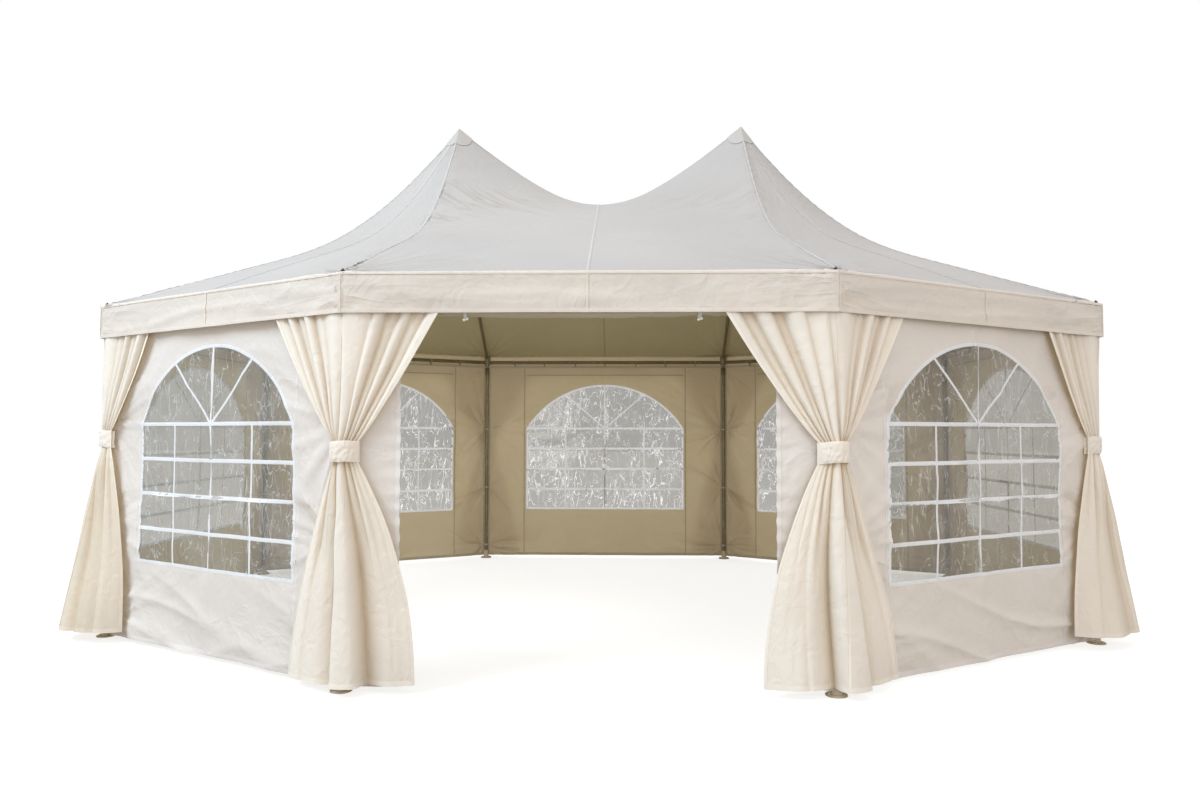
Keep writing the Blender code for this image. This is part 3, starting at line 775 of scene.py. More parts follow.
def roof_drag(bay, u, t):
    """Creases pulled out of the hips below a peak, out of the eave corners and out of the seams."""
    down, seed = 3.0 * t, 10.0 * BAY_NUMBER[bay]
    off = min(u, 1.0 - u) * gore_span(bay, t)
    hard = {("front", True): 1.0, ("back", True): 0.7, ("front", False): 0.45}.get((bay, u < 0.5), 0.12)
    high = ease((t - 0.05) * 9.0) * ease((0.60 - t) * 5.0)
    patchy = ease(0.5 + 1.6 * smooth_noise(down * 2.0, off, seed + 2.0))
    drags = (seed + (down - 0.55 * off) * 11.0, off * 2.2, 2.3 * hard * high * patchy * fade(off, 0.40))
    tight = 0.3 * fade(off, 0.05) * ease(0.5 + 2.0 * smooth_noise(down * 3.0, 0.0, seed))
    sewn = (seed + down * 16.0, off * 5.0, tight)
    here = gore_point(bay, u, t).xy
    away = min((here - corner for corner in eave_ends(bay)), key=lambda way: way.length)
    angle = math.atan2(away.y, away.x)
    fan = (seed + angle * 3.5, away.length * 1.4, 1.6 * fade(away.length, 0.26) * ease(away.length / 0.06))
    across, along, strength = max((drags, sewn, fan), key=lambda told: told[2])
    return (across, along, strength * ease(off / 0.035))


def band_drag(bay, u, v):
    """Level creases of the band, drawn together at the corners."""
    length = bay_frame(bay)[3]
    along, to_corner = u * length, min(u, 1.0 - u) * length
    seed = 10.0 * BAY_NUMBER[bay] + 3.0
    turn = math.copysign(1.0, 0.5 - u) * ease(abs(0.5 - u) * 6.0)
    drawn = fade(to_corner, 0.25)
    across = (v * VALANCE - 0.08) * (13.0 + 9.0 * drawn) - turn * along * 0.8
    strength = (0.08 + 0.42 * drawn) * ease(v * 8.0) * ease((1.0 - v) * 8.0) * ease(to_corner / 0.06)
    return (seed + across, along * 1.7, strength)


def build_roof():
    """The sewn sheet: gores and band laid, welded along their edges, and then lifted by their relief."""
    bm = bmesh.new()
    bm.verts.layers.float_vector.new("drag")
    relief = bm.verts.layers.float.new("relief")
    for bay in BAYS:
        columns = WIDE_COLUMNS if bay in WIDE_BAYS else END_COLUMNS
        length = bay_frame(bay)[3]
        gore = lay_cloth(bm, columns, GORE_ROWS, lambda u, t: gore_point(bay, u, t), (length, 3.0))
        tell_drag(bm, gore, lambda u, t: roof_drag(bay, u, t))
        for vert, (u, t) in gore.items():
            vert[relief] = roof_relief(bay, u, t)
        band = lay_cloth(bm, columns, BAND_ROWS, lambda u, v: band_point(bay, u, v), (length, VALANCE))
        tell_drag(bm, band, lambda u, v: band_drag(bay, u, v))
        for vert, (u, v) in band.items():
            vert[relief] = band_relief(bay, u, v)
        for face in faces_of(band):
            face.material_index = 1
    bmesh.ops.remove_doubles(bm, verts=bm.verts, dist=WELD)
    bm.normal_update()
    for vert, lift in [(vert, vert[relief]) for vert in bm.verts]:
        vert.co += vert.normal * (lift - SHEET_SINK)
    bm.verts.layers.float.remove(relief)
    area = area_of(bm)
    roof = finish_piece(bm, "roof_sheet", [ROOF_CLOTH, VALANCE_CLOTH])
    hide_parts(*[f"roof_{bay}" for bay in BAYS])
    return roof, area


ROOF, roof_area = build_roof()
print("roof sheet", len(ROOF.data.polygons), "faces,", round(roof_area, 2), "m2")

# %% [markdown]
# ### Seams, hem and peak caps
# The gores are joined with flat seams: two edges folded into each other and stitched twice, about
# 16 mm wide. Each seam is a narrow strip that rides on the cloth to both sides of the line, so it
# bends over the hip as the real one does. The caps at the peaks are round pieces of thicker cloth,
# pleated by hand, and the hanging band ends in a turned-up hem.

# %% Seam strips
SEAM_HALF, SEAM_LIFT, SEAM_LENGTH = 0.008, 0.0020, 2.9
SEAM_START, SEAM_END = 0.035, 0.998  # shares of the way from the peak to the eave


def gore_width(bay, t):
    """Distance between the two edges of a gore at t."""
    return (gore_point(bay, 1.0, t) - gore_point(bay, 0.0, t)).length


def roof_skin(bay, u, t, lift):
    """Point on the creased roof, lifted off it."""
    return lifted(lambda a, b: gore_point(bay, a, b), u, t, roof_relief(bay, u, t) + lift)


def seam_place(bays, edges, first, last, face):
    """Place of a strip along a seam, on its outer or inner face: u runs down the seam, v across it."""

    def place(u, v):
        t = first + (last - first) * u
        off = (0.5 - v) * 2.0 * SEAM_HALF
        side = 0 if off < 0.0 else 1
        pressed = SEAM_LIFT * (1.0 - 0.8 * abs(2.0 * v - 1.0) ** 6)
        return roof_skin(bays[side], edges[side] + off / gore_width(bays[side], t), t, face * pressed)

    return place


def build_seams():
    """The eight seams between gores and the one down the middle of each, seen from outside and inside."""
    bm = bmesh.new()
    for bay in BAYS:
        after = corner_bays(BAYS[bay][1])[1]
        for bays, edges in (((bay, after), (1.0, 0.0)), ((bay, bay), (0.5, 0.5))):
            first = 0.0 if bay in WIDE_BAYS and edges[0] == 0.5 else SEAM_START
            for face, steps in ((1.0, 150), (-1.6, 70)):
                place = seam_place(bays, edges, first, SEAM_END, face)
                lay_cloth(bm, steps, 4, place, (SEAM_LENGTH, 2 * SEAM_HALF), (0.0, SEAM_HALF))
    return finish_piece(bm, "roof_seams", [ROOF_TAPE])


ROOF_SEAMS = build_seams()
print("seams", len(ROOF_SEAMS.data.polygons), "faces")

# %% Welt along the eave and hem of the band
HEM_WIDTH, WELT_WIDTH = 0.022, 0.026
HEM_LIFT, WELT_LIFT, JOIN_LIFT = 0.0018, 0.0024, 0.0022
BAND_JOINS = ((0.5, 0.012), (0.002, 0.006))  # share of the bay's length, width


def band_skin(bay, u, v, lift):
    """Point on the creased band, lifted off it."""
    return lifted(lambda a, b: band_point(bay, a, b), u, v, band_relief(bay, u, v) + lift)


def eave_place(bay):
    """Strip folded over the eave edge: u along the bay, v from the roof over to the band."""

    def place(u, v):
        off = (v - 0.5) * WELT_WIDTH
        if off < 0.0:
            return roof_skin(bay, u, 1.0 + off / GORE_RUN, WELT_LIFT)
        return band_skin(bay, u, off / VALANCE, WELT_LIFT)

    return place


def hem_place(bay):
    """Strip over the lower edge of the band."""

    def place(u, v):
        down = 1.0 - (1.0 - v) * HEM_WIDTH / VALANCE
        return band_skin(bay, u, down, HEM_LIFT * (1.0 if v < 1.0 else 0.3))

    return place


def band_seam_place(bay, at, width):
    """Upright strip on the band, where two lengths of it are joined."""

    def place(u, v):
        along = max(0.0, at + (0.5 - v) * width / bay_frame(bay)[3])
        return band_skin(bay, along, u, JOIN_LIFT)

    return place


def build_band_trim():
    """Welt, hem and joins of the band, all round the tent."""
    bm = bmesh.new()
    for bay in BAYS:
        length = bay_frame(bay)[3]
        lay_cloth(bm, 120, 4, eave_place(bay), (length, WELT_WIDTH), (0.0, WELT_WIDTH / 2))
        lay_cloth(bm, 120, 2, hem_place(bay), (length, HEM_WIDTH), (0.0, HEM_WIDTH / 2))
        for at, width in BAND_JOINS:
            lay_cloth(bm, 12, 2, band_seam_place(bay, at, width), (VALANCE, width), (0.0, width / 2))
    return finish_piece(bm, "band_trim", [HEM_CLOTH])


BAND_TRIM = build_band_trim()
print("band trim", len(BAND_TRIM.data.polygons), "faces")

# %% Peak caps
CAP_CLOTH = cloth_material("cap_cloth", (0.58, 0.54, 0.505), *ROOF_BACK, 0.18, 0.15, 0.65, 8.0, 6.0)
CAP_REACH = 0.112


def cap_place(side):
    """Pleated cap over a peak, like a small tent on the tent: u goes round it, v out from the point."""

    def place(u, v):
        angle = 2.0 * math.pi * u
        reach = CAP_REACH * v
        x = side * PEAK_X + reach * math.cos(angle)
        y = reach * math.sin(angle)
        pleat = smooth_noise(angle * 2.0, v * 1.5, 9.0 + side)
        lift = 0.0024 + 0.0022 * (1.0 - v ** 6) + 0.0005 * pleat * v
        return Vector((x + lift * math.cos(angle), y + lift * math.sin(angle), roof_height(x, y) + lift))

    return place


def build_caps():
    """One cap over each peak."""
    caps = []
    for name, side in (("left", -1.0), ("right", 1.0)):
        bm = bmesh.new()
        lay_cloth(bm, 160, 22, cap_place(side), (2 * math.pi * CAP_REACH, 0.2), (0.0, 0.1))
        caps.append(finish_piece(bm, f"peak_cap_{name}", [CAP_CLOTH], weld=WELD))
    return caps


CAPS = build_caps()
print("caps", [len(cap.data.polygons) for cap in CAPS])

# %% [markdown]
# ### Corner bolts
# At every eave corner a threaded stud comes up through the cloth and holds it down with a washer
# and a ring nut. It is small but dark, so it shows in the picture as a dot on each corner.

# %% Corner bolts
STUD_RADIUS, STUD_HEIGHT, STUD_INSET = 0.004, 0.014, 0.035
WASHER_RADIUS, NUT_RADIUS = 0.013, 0.007
# heights and radii from the cloth up
WASHER = [(0.000, WASHER_RADIUS), (0.004, WASHER_RADIUS), (0.0045, WASHER_RADIUS * 0.8)]
NUT_AND_STUD = [
    (0.004, NUT_RADIUS), (0.009, NUT_RADIUS), (0.010, STUD_RADIUS),
    (STUD_HEIGHT - 0.002, STUD_RADIUS), (STUD_HEIGHT, STUD_RADIUS * 0.7),
]


def metal_material(name, colour, worn, roughness, metallic, seed, foot=None):
    """Painted or bare metal, rubbed by noise to its worn colour; foot is the colour of the foot plates."""
    material, tree, surface = new_material(name)
    place = add_node(tree, "ShaderNodeTexCoord").outputs["Object"]
    rubbed = noise_node(tree, place, seed, 9.0, 6.0, Roughness=0.65).outputs[0]
    mask = map_node(tree, rubbed, 0.50, 0.72)
    painted = blend_colour(tree, mask, colour, worn)
    if foot:
        low = map_node(tree, parts_of(tree, place)[2], 0.10, 0.06)
        painted = blend_colour(tree, low, painted, foot)
    tree.links.new(painted, surface.inputs["Base Color"])
    rough = map_node(tree, mask, 0.0, 1.0, roughness, min(1.0, roughness + 0.18))
    tree.links.new(rough, surface.inputs["Roughness"])
    surface.inputs["Metallic"].default_value = metallic
    tree.links.new(bump_node(tree, 0.15, 0.002, rubbed), surface.inputs["Normal"])
    return material


# after the colours: roughness, how metallic it is, seed
DARK_METAL = metal_material("dark_metal", (0.10, 0.09, 0.08), (0.22, 0.20, 0.18), 0.40, 0.85, 1.0)
FRAME_PAINT = metal_material("frame_paint", (0.155, 0.127, 0.066), (0.26, 0.215, 0.13), 0.38, 0.15, 2.0)
POST_PAINT = metal_material(
    "post_paint", (0.215, 0.175, 0.10), (0.34, 0.285, 0.185), 0.38, 0.15, 6.0, foot=(0.56, 0.48, 0.35)
)
FOOT_PAINT = metal_material("foot_paint", (0.60, 0.52, 0.38), (0.42, 0.35, 0.24), 0.50, 0.0, 5.0)
BRIGHT_METAL = metal_material("bright_metal", (0.62, 0.60, 0.56), (0.45, 0.42, 0.38), 0.30, 0.9, 3.0)


def add_turned(bm, centre, axis, profile, steps=16):
    """Add a turned solid: profile is (distance along the axis, radius) from end to end."""
    turn = axis.normalized().to_track_quat("Z", "Y").to_matrix().to_4x4()
    place = Matrix.Translation(centre) @ turn
    rings = []
    for height, radius in profile:
        level = place @ Matrix.Translation((0, 0, height))
        verts = bmesh.ops.create_circle(bm, segments=steps, radius=radius, matrix=level)["verts"]
        rings.append((verts, edges_of(verts)))
    faces = []
    for (_, low), (_, high) in zip(rings, rings[1:]):
        faces += bmesh.ops.bridge_loops(bm, edges=low + high)["faces"]
    faces += [bm.faces.new(verts) for verts, _ in (rings[0], rings[-1])]
    for face in faces:
        face.smooth = len(face.verts) == 4
    bmesh.ops.recalc_face_normals(bm, faces=faces)


def build_corner_bolts():
    """A washer, and a nut on its stud, at each eave corner."""
    bm = bmesh.new()
    for corner in CORNER_NAMES:
        flat = corner_offset(corner, ROOF_OUT - STUD_INSET)
        foot = Vector((flat.x, flat.y, roof_height(flat.x, flat.y)))
        add_turned(bm, foot, UP, WASHER)
        add_turned(bm, foot, UP, NUT_AND_STUD, 12)
    return finish_piece(bm, "corner_bolts", [DARK_METAL])


CORNER_BOLTS = build_corner_bolts()
print("corner bolts", len(CORNER_BOLTS.data.polygons), "faces")

# %% [markdown]
# ## Walls
# Each wall is three widths of cloth sewn side by side, with an arched hole cut in the middle one
# and its edges tied to the posts. It is laid as rings that run from the arch out to the straight
# hems, so the mesh follows both shapes, and it is then creased: it fans out from every tie, it
# ripples along the seams, and low down it sags in slack folds because nothing pulls its hem down.

# %% Arch of a window
ARCH_RISE = 0.50


def window_half(bay):
    """Half the width of a bay's window."""
    return bay_frame(bay)[3] / 2 * WINDOW_SHARE


def arch_circle(bay):
    """Height of the centre and radius of the circle that the arch is a part of."""
    half = window_half(bay)
    radius = (half ** 2 + ARCH_RISE ** 2) / (2 * ARCH_RISE)
    return SPRING + ARCH_RISE - radius, radius


def arch_height(bay, u):
    """Height of the window's upper edge at u along its bay."""
    centre, radius = arch_circle(bay)
    return centre + math.sqrt(max(0.0, radius ** 2 - u ** 2))


def arch_point(bay, share):
    """(u, z) on the arch from its right foot (0) over the crown (0.5) to its left foot (1)."""
    centre, radius = arch_circle(bay)
    foot = math.atan2(SPRING - centre, window_half(bay))
    angle = foot + (math.pi - 2.0 * foot) * share
    return Vector((radius * math.cos(angle), centre + radius * math.sin(angle)))


print("arch of the back window", arch_circle("back"))

# %% Creases of a wall
TIE_HEIGHTS = (0.15, 0.80, 1.46)
RAIL_TIE = WALL_HIGH - 0.06
CORNER_ROOM, WALL_SINK = 0.012, 0.004
# how high the creases stand, in metres
TIE_FAN, WALL_SLACK, WALL_SWELL, WALL_SLANT = 0.028, 0.015, 0.010, 0.013
EDGE_GATHER, WALL_PUCKER = 0.003, 0.003


def wall_half(bay):
    """Half the width of a wall: up to the posts, less the room for the corner."""
    return bay_frame(bay)[3] / 2 - CORNER_ROOM


def wall_relief(bay, u, z):
    """How far a wall is pushed out of its plane at (u, z), in metres; inwards is negative."""
    seed = BAY_NUMBER[bay] + 40.0
    half, window = wall_half(bay), window_half(bay)
    lift = 0.0
    for side in (-1.0, 1.0):
        for number, height in enumerate(TIE_HEIGHTS):
            across, up = half - side * u, z - height
            reach = math.hypot(across, up)
            angle = math.atan2(up, across)
            fan = ridged(angle * 3.4 + number * 5.0, reach * 0.6, seed + side) - 0.4
            lift += TIE_FAN * fan * fade(reach, 0.36) * ease(reach / 0.10)
        seam = side * u - window
        lift += pucker(z, seam, seed + side * 4.0, WALL_PUCKER, 0.052) * 0.9
    low = ease((SILL + 0.10 - z) / 0.40)
    slack = ridged(u * 0.8 + z * 0.8, z * 4.2 + 0.7 * math.sin(u * 2.0), seed + 3.0) - 0.4
    lift += WALL_SLACK * low * slack
    lift += WALL_SWELL * smooth_noise(u * 2.0, z * 1.2, seed + 5.0)
    slant = math.copysign(1.0, u) * (1.0 if z > 1.0 else -1.0)
    lift += WALL_SLANT * (ridged(u * 1.6 + slant * z * 1.3, z * 0.9 - slant * u * 0.7, seed + 7.0) - 0.35)
    to_edge = half - abs(u)
    edge, top = ease(to_edge / 0.05), ease((WALL_HIGH - z) / 0.06)
    gathers = EDGE_GATHER * math.sin(z * 95.0 + 3.0 * smooth_noise(z * 3.0, u, seed + 9.0))
    gathers *= fade(to_edge, 0.05)
    return lift * edge * top + gathers * 0.6 - WALL_SINK


def wall_drag(bay, u, z):
    """Creases that fan out from the nearest tie."""
    to_edge = wall_half(bay) - abs(u)
    ties = sorted((math.hypot(to_edge, z - height), height) for height in (*TIE_HEIGHTS, RAIL_TIE))
    (near, height), (other, _) = ties[:2]
    angle = math.atan2(z - height, to_edge)
    strength = ease((other - near) / 0.20) * fade(near, 0.40) * ease(near / 0.05)
    seed = 10.0 * BAY_NUMBER[bay] + 6.0 * height + (4.0 if u > 0.0 else 0.0)
    strength *= ease(0.5 + 1.8 * smooth_noise(angle * 1.1, near * 0.6, seed))
    return (seed + angle * 1.6, near * 1.1, strength * (0.65 if height == RAIL_TIE else 1.3))


def wall_point(bay, u, z, lift=0.0):
    """Point on a creased wall."""
    return bay_point(bay, u, WALL_MID + wall_relief(bay, u, z) + lift, z)


# %% Lay a wall as rings round its window
RING_ROWS = 40
SHOULDER = SPRING + 0.05  # height on the hem that goes with the foot of the arch


def straight(a, b):
    """Straight line from a to b, both (u, z), by the share of the way."""
    return lambda q: Vector(a).lerp(Vector(b), q)


def wall_sections(bay):
    """Pairs of lines, one along the window and one along the hem, with the steps between."""
    half, window = wall_half(bay), window_half(bay)
    arch = lambda a, b: (lambda q: arch_point(bay, a + (b - a) * q))
    return (
        (straight((-window, SILL), (window, SILL)), straight((-half, WALL_LOW), (half, WALL_LOW)), 80),
        (straight((window, SILL), (window, SPRING)), straight((half, WALL_LOW), (half, SHOULDER)), 50),
        (arch(0.0, 0.22), straight((half, SHOULDER), (half, WALL_HIGH)), 22),
        (arch(0.22, 0.78), straight((half, WALL_HIGH), (-half, WALL_HIGH)), 80),
        (arch(0.78, 1.0), straight((-half, WALL_HIGH), (-half, SHOULDER)), 22),
        (straight((-window, SPRING), (-window, SILL)), straight((-half, SHOULDER), (-half, WALL_LOW)), 50),
    )


def lay_on_wall(bm, bay, columns, rows, spot, shift=0.0):
    """Lay a grid where spot(u, v) tells its (u, z) on a wall; these metres, shifted, are its UVs."""
    layer = bm.loops.layers.uv.verify()

    def place(u, v):
        along, height = spot(u, v)
        return Vector((along, 0.0, height))

    laid = lay_cloth(bm, columns, rows, place, (1.0, 1.0))
    for face in faces_of(laid):
        for loop in face.loops:
            loop[layer].uv = (loop.vert.co.x + shift, loop.vert.co.z)
    spots = {vert: (vert.co.x, vert.co.z) for vert in laid}
    for vert, (u, z) in spots.items():
        vert.co = wall_point(bay, u, z)
    return spots


def build_wall(bay):
    """Panels between the window and the hems, welded to one sheet, with its outer side outwards."""
    bm = bmesh.new()
    bm.verts.layers.float_vector.new("drag")
    for inner, outer, steps in wall_sections(bay):
        spots = lay_on_wall(bm, bay, steps, RING_ROWS, lambda u, v: outer(u).lerp(inner(u), v))
        tell_drag(bm, spots, lambda u, z: wall_drag(bay, u, z))
    bmesh.ops.remove_doubles(bm, verts=bm.verts, dist=WELD)
    bmesh.ops.recalc_face_normals(bm, faces=bm.faces)
    outward = bay_frame(bay)[2]
    if sum(face.normal.xy.dot(outward) for face in bm.faces) < 0.0:
        bmesh.ops.reverse_faces(bm, faces=bm.faces)
    area = area_of(bm)
    wall = finish_piece(bm, f"wall_sheet_{bay}", [WALL_CLOTH])
    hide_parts(f"wall_{bay}")
    return wall, area


WALL_BAYS = [bay for bay in BAYS if bay != "front"]
WALLS, wall_areas = {}, {}
for bay in WALL_BAYS:
    WALLS[bay], wall_areas[bay] = build_wall(bay)
print("walls", {bay: len(wall.data.polygons) for bay, wall in WALLS.items()})

# %% [markdown]
# ### Hems and seams of the walls
# The edges of a wall are turned over and stitched. Two upright seams stand in line with the
# window's sides, and a level one runs between them above the arch.

# %% Hems and seams of a wall
WALL_HEM, WALL_SEAM, SEAM_BESIDE = 0.030, 0.014, 0.022
TRIM_LIFT = 0.0016


def wall_strip(bm, bay, path, length, width, steps, faces=(1.0, -1.0), lift=TRIM_LIFT):
    """Strip of cloth along a path of (u, z) on a wall, on its outer (1) and inner (-1) face."""

    def sided(face):
        def place(u, v):
            here = path(u)
            way = (path(min(1.0, u + 0.002)) - path(max(0.0, u - 0.002))).normalized()
            spot = here + Vector((-way.y, way.x)) * (0.5 - v) * width
            pressed = lift * (1.0 - 0.75 * abs(2.0 * v - 1.0) ** 4)
            return wall_point(bay, spot.x, spot.y, face * pressed)
        return place

    for face in faces:
        lay_cloth(bm, steps, 2, sided(face), (length, width), (0.0, width / 2))
    return length * len(faces)


def build_wall_trim(bay):
    """The level hems and seam of a wall, and then the upright ones of each side."""
    bm = bmesh.new()
    half, window, edge = wall_half(bay), window_half(bay), WALL_HEM / 2
    low, high, above = WALL_LOW + edge, WALL_HIGH - edge, (WALL_HIGH + APEX) / 2
    level = ((low, half, WALL_HEM, 150), (high, half, WALL_HEM, 100), (above, window, WALL_SEAM, 100))
    for z, reach, width, steps in level:
        wall_strip(bm, bay, straight((-reach, z), (reach, z)), 2 * reach, width, steps)
    for side in (-1.0, 1.0):
        for off, width in ((half - edge * 0.8, WALL_HEM * 0.8), (window + SEAM_BESIDE, WALL_SEAM)):
            u = side * off
            wall_strip(bm, bay, straight((u, WALL_LOW), (u, WALL_HIGH)), high, width, 150)
    return finish_piece(bm, f"wall_trim_{bay}", [WALL_HEM_CLOTH])


WALL_TRIM = {bay: build_wall_trim(bay) for bay in WALL_BAYS}
print("wall trim", sum(len(trim.data.polygons) for trim in WALL_TRIM.values()), "faces")

# %% [markdown]
# ### Windows
# The window is clear film with white bars sewn on both sides of it, and in the back bays on the
# inner side only. Rolled and folded for years, the film never lies flat again: it shines in bright
# streaks, and those streaks are what makes it visible at all. Its finish is therefore nearly clear,
# with a crinkle that opens and closes the film by a stretched noise, and a low, shiny roughness.
# The streaks are painted highlights: white lines, and on the back windows clear lines instead.

# %% Film and bars
BORDER_WIDTH = 0.022
BAR_UPRIGHT, BAR_LEVEL = 0.016, 0.024
ROW_HEIGHT = (SPRING - SILL) / 4
FAN_SPREAD = 0.45
FILM_GREY, FILM_PAINTED_HIGHLIGHT, FILM_CLEAR = (0.40, 0.39, 0.36), (0.95, 0.95, 0.96), (0.97, 0.97, 0.97)
CRINKLES = (
    # turn, scale, seed, width and stretch of the upright, the slanted and the curled lines
    (0.08, 13.0, 0.0, 1.0, 0.28),
    (-0.75, 11.0, 9.0, 0.9, 0.35),
    (0.5, 9.0, 17.0, 0.7, 0.8),
)


def crinkle_lines(tree, flat, turn, scale, seed, width, stretch):
    """Painted highlights: thin, broken, wandering lines where folded film catches light, and the folds they
    follow.
    """
    bent = noise_node(tree, flat, seed, 1.4, 1.0).outputs["Color"]
    told = {"Vector": flat, "Scale": (scale, scale * stretch, 1.0), "Rotation": (0.0, 0.0, turn)}
    turned = add_node(tree, "ShaderNodeMapping", told).outputs[0]
    wander = add_node(tree, "ShaderNodeVectorMath", {0: bent, 3: 2.6}, operation="SCALE").outputs[0]
    moved = add_node(tree, "ShaderNodeVectorMath", {0: turned, 1: wander}, operation="ADD").outputs[0]
    folds = noise_node(tree, moved, seed, 1.0, 2.5, Distortion=0.5).outputs[0]
    ridge = math_node(tree, "ABSOLUTE", math_node(tree, "SUBTRACT", folds, 0.5))
    broken = noise_node(tree, moved, seed + 4.0, 0.9, 3.0).outputs[0]
    kept = map_node(tree, broken, 0.42, 0.56)
    return math_node(tree, "MULTIPLY", map_node(tree, ridge, width, 0.0), kept), folds


def film_material(name, tint, lines, clears, seed, width):
    """Clear, slightly grey film with painted highlights: white lines, or with clears 1 lines that let the
    light through.
    """
    material, tree, surface = new_material(name)
    flat = add_node(tree, "ShaderNodeUVMap").outputs[0]
    (upright, folds), (slanted, _), (curled, _) = (
        crinkle_lines(tree, flat, turn, scale, seed + more, width * share, stretch)
        for turn, scale, more, share, stretch in CRINKLES
    )
    most = math_node(tree, "MAXIMUM", upright, math_node(tree, "MAXIMUM", slanted, curled))
    both = math_node(tree, "MULTIPLY", most, lines)
    haze = noise_node(tree, flat, seed, 2.2, 3.0).outputs[0]
    veil = map_node(tree, haze, 0.35, 0.7, 0.20, 0.42)
    # painted highlights: the crinkle lines are drawn white, or with clears 1 opened to the light behind
    white = math_node(tree, "MULTIPLY", both, 1.0 - clears)
    opened = math_node(tree, "MULTIPLY", both, clears)
    open_share = math_node(tree, "SUBTRACT", 1.0, opened)
    seen = add_node(tree, "ShaderNodeLightPath").outputs["Is Camera Ray"]
    cover = math_node(tree, "MULTIPLY", math_node(tree, "MAXIMUM", veil, white), open_share)
    cover = math_node(tree, "MULTIPLY", cover, math_node(tree, "MAXIMUM", seen, 0.3))
    gloss = blend_colour(tree, white, FILM_GREY, FILM_PAINTED_HIGHLIGHT)
    tree.links.new(gloss, surface.inputs["Base Color"])
    surface.inputs["Roughness"].default_value = 0.10
    tree.links.new(bump_node(tree, 0.35, 0.02, folds), surface.inputs["Normal"])
    shade = blend_colour(tree, haze, tuple(c * 0.86 for c in tint), tuple(min(1.0, c * 1.12) for c in tint))
    back = add_node(tree, "ShaderNodeNewGeometry").outputs["Backfacing"]
    shade = blend_colour(tree, back, tuple(max(c, 0.80) for c in tint) if clears else tint, shade)
    clear = math_node(tree, "MAXIMUM", opened, math_node(tree, "SUBTRACT", 1.0, seen))
    shade = blend_colour(tree, clear, shade, FILM_CLEAR)
    window = add_node(tree, "ShaderNodeBsdfTransparent", {0: shade})
    mixed = add_node(tree, "ShaderNodeMixShader", {0: cover, 1: window.outputs[0], 2: surface.outputs[0]})
    tree.links.new(mixed.outputs[0], tree.nodes["Material Output"].inputs["Surface"])
    return material


CLEAR_FILM = film_material("clear_film", (0.69, 0.675, 0.645), 0.60, 0.0, 1.0, 0.016)
CREASED_FILM = film_material("creased_film", (0.475, 0.465, 0.45), 1.0, 1.0, 2.0, 0.013)


def build_film(bay):
    """The film of one window, laid in upright columns that end on the arch."""
    bm = bmesh.new()

    def spot(u, v):
        along = (2.0 * u - 1.0) * window_half(bay)
        return along, SILL + (1.0 - v) * (arch_height(bay, along) - SILL)

    lay_on_wall(bm, bay, 56, 60, spot, 3.0 * BAY_NUMBER[bay])
    bm.normal_update()
    finish = CREASED_FILM if bay.startswith("back") else CLEAR_FILM
    film = finish_piece(bm, f"window_film_{bay}", [finish])
    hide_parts(f"window_{bay}")
    return film


FILMS = {bay: build_film(bay) for bay in WALL_BAYS}


def build_bars(bay):
    """Border tape, level and upright bars, and the fan in the arch; returns their length too."""
    bm = bmesh.new()
    window = window_half(bay)
    inset = BORDER_WIDTH / 2 - 0.003
    foot, side = SILL + inset, window - inset
    wave = lambda q, seed: 0.002 * smooth_noise(q * 5.0, seed, BAY_NUMBER[bay] + 60.0)

    def round_arch(q):
        spot = arch_point(bay, q)
        return spot - (spot - Vector((0.0, arch_circle(bay)[0]))).normalized() * inset

    strips = [
        (straight((-window, foot), (window, foot)), 2 * window, BORDER_WIDTH, 60),
        (straight((-side, SILL), (-side, SPRING)), SPRING - SILL, BORDER_WIDTH, 50),
        (straight((side, SILL), (side, SPRING)), SPRING - SILL, BORDER_WIDTH, 50),
        (round_arch, 2.2 * window, BORDER_WIDTH, 90),
    ]
    for row in range(1, 5):
        z = SILL + ROW_HEIGHT * row
        path = lambda q, z=z: Vector(((2 * q - 1) * window, z + wave(q, z)))
        strips.append((path, 2 * window, BAR_LEVEL, 60))
    for column in (-0.5, 0.0, 0.5):
        u = column * window
        path = lambda q, u=u: Vector((u + wave(q, u + 9.0), SILL + (SPRING - SILL) * q))
        strips.append((path, 0.92, BAR_UPRIGHT, 50))
    strips.append((straight((0.0, SPRING), (0.0, APEX - 0.01)), ARCH_RISE, BAR_UPRIGHT, 30))
    for side in (-1.0, 1.0):
        reach = side * FAN_SPREAD * window / window_half("back")
        top = (reach, arch_height(bay, reach) - 0.01)
        strips.append((straight((0.0, SPRING), top), 0.6, BAR_UPRIGHT, 36))
    tape, faces = (THIN_TAPE, (-1.0,)) if bay.startswith("back") else (WHITE_TAPE, (1.0, -1.0))
    total = 0.0
    for number, (path, length, width, steps) in enumerate(strips):
        total += wall_strip(bm, bay, path, length, width, steps, faces, TRIM_LIFT + 0.0002 * (number % 3))
    return finish_piece(bm, f"window_bars_{bay}", [tape]), total


BARS = {}
for bay in WALL_BAYS:
    BARS[bay], bar_length = build_bars(bay)
    print(bay, "bars", round(bar_length, 1), "m, faces", len(BARS[bay].data.polygons))
for bay in WALL_BAYS:
    height, width = WALL_HIGH - WALL_LOW, 2 * wall_half(bay)
    round(2 * window_half(bay), 3)

# %% [markdown]
# ## Corner curtains
# A corner curtain is one length of cloth that hangs round a post, drawn together at half height by
# a band. The folds are what makes it: about a dozen start at the top, run together into the band,
# and open out below it into three or four broad ones, because the cloth's own weight pulls small
# folds flat. The sheet is laid as a grid round the corner, a fold law pushes it in and out, and the
# number of folds changes with height by blending a fine law into a broad one.

# %% Outline of a curtain
CURTAIN_TOP, BAND_HALF, TOP_DEPTH = 2.185, 0.058, 0.044
CURTAIN_CUT = (1.310, 0.082, 0.140, 0.050)
CURTAIN_CUTS = {"left_front": (1.370, 0.055, 0.285, 0.078), "right_front": (1.335, 0.042, 0.270, 0.095)}
UPPER_SWEEP, SIDE_SWEEP, FRONT_SWEEP = 0.88, 1.45, 2.0
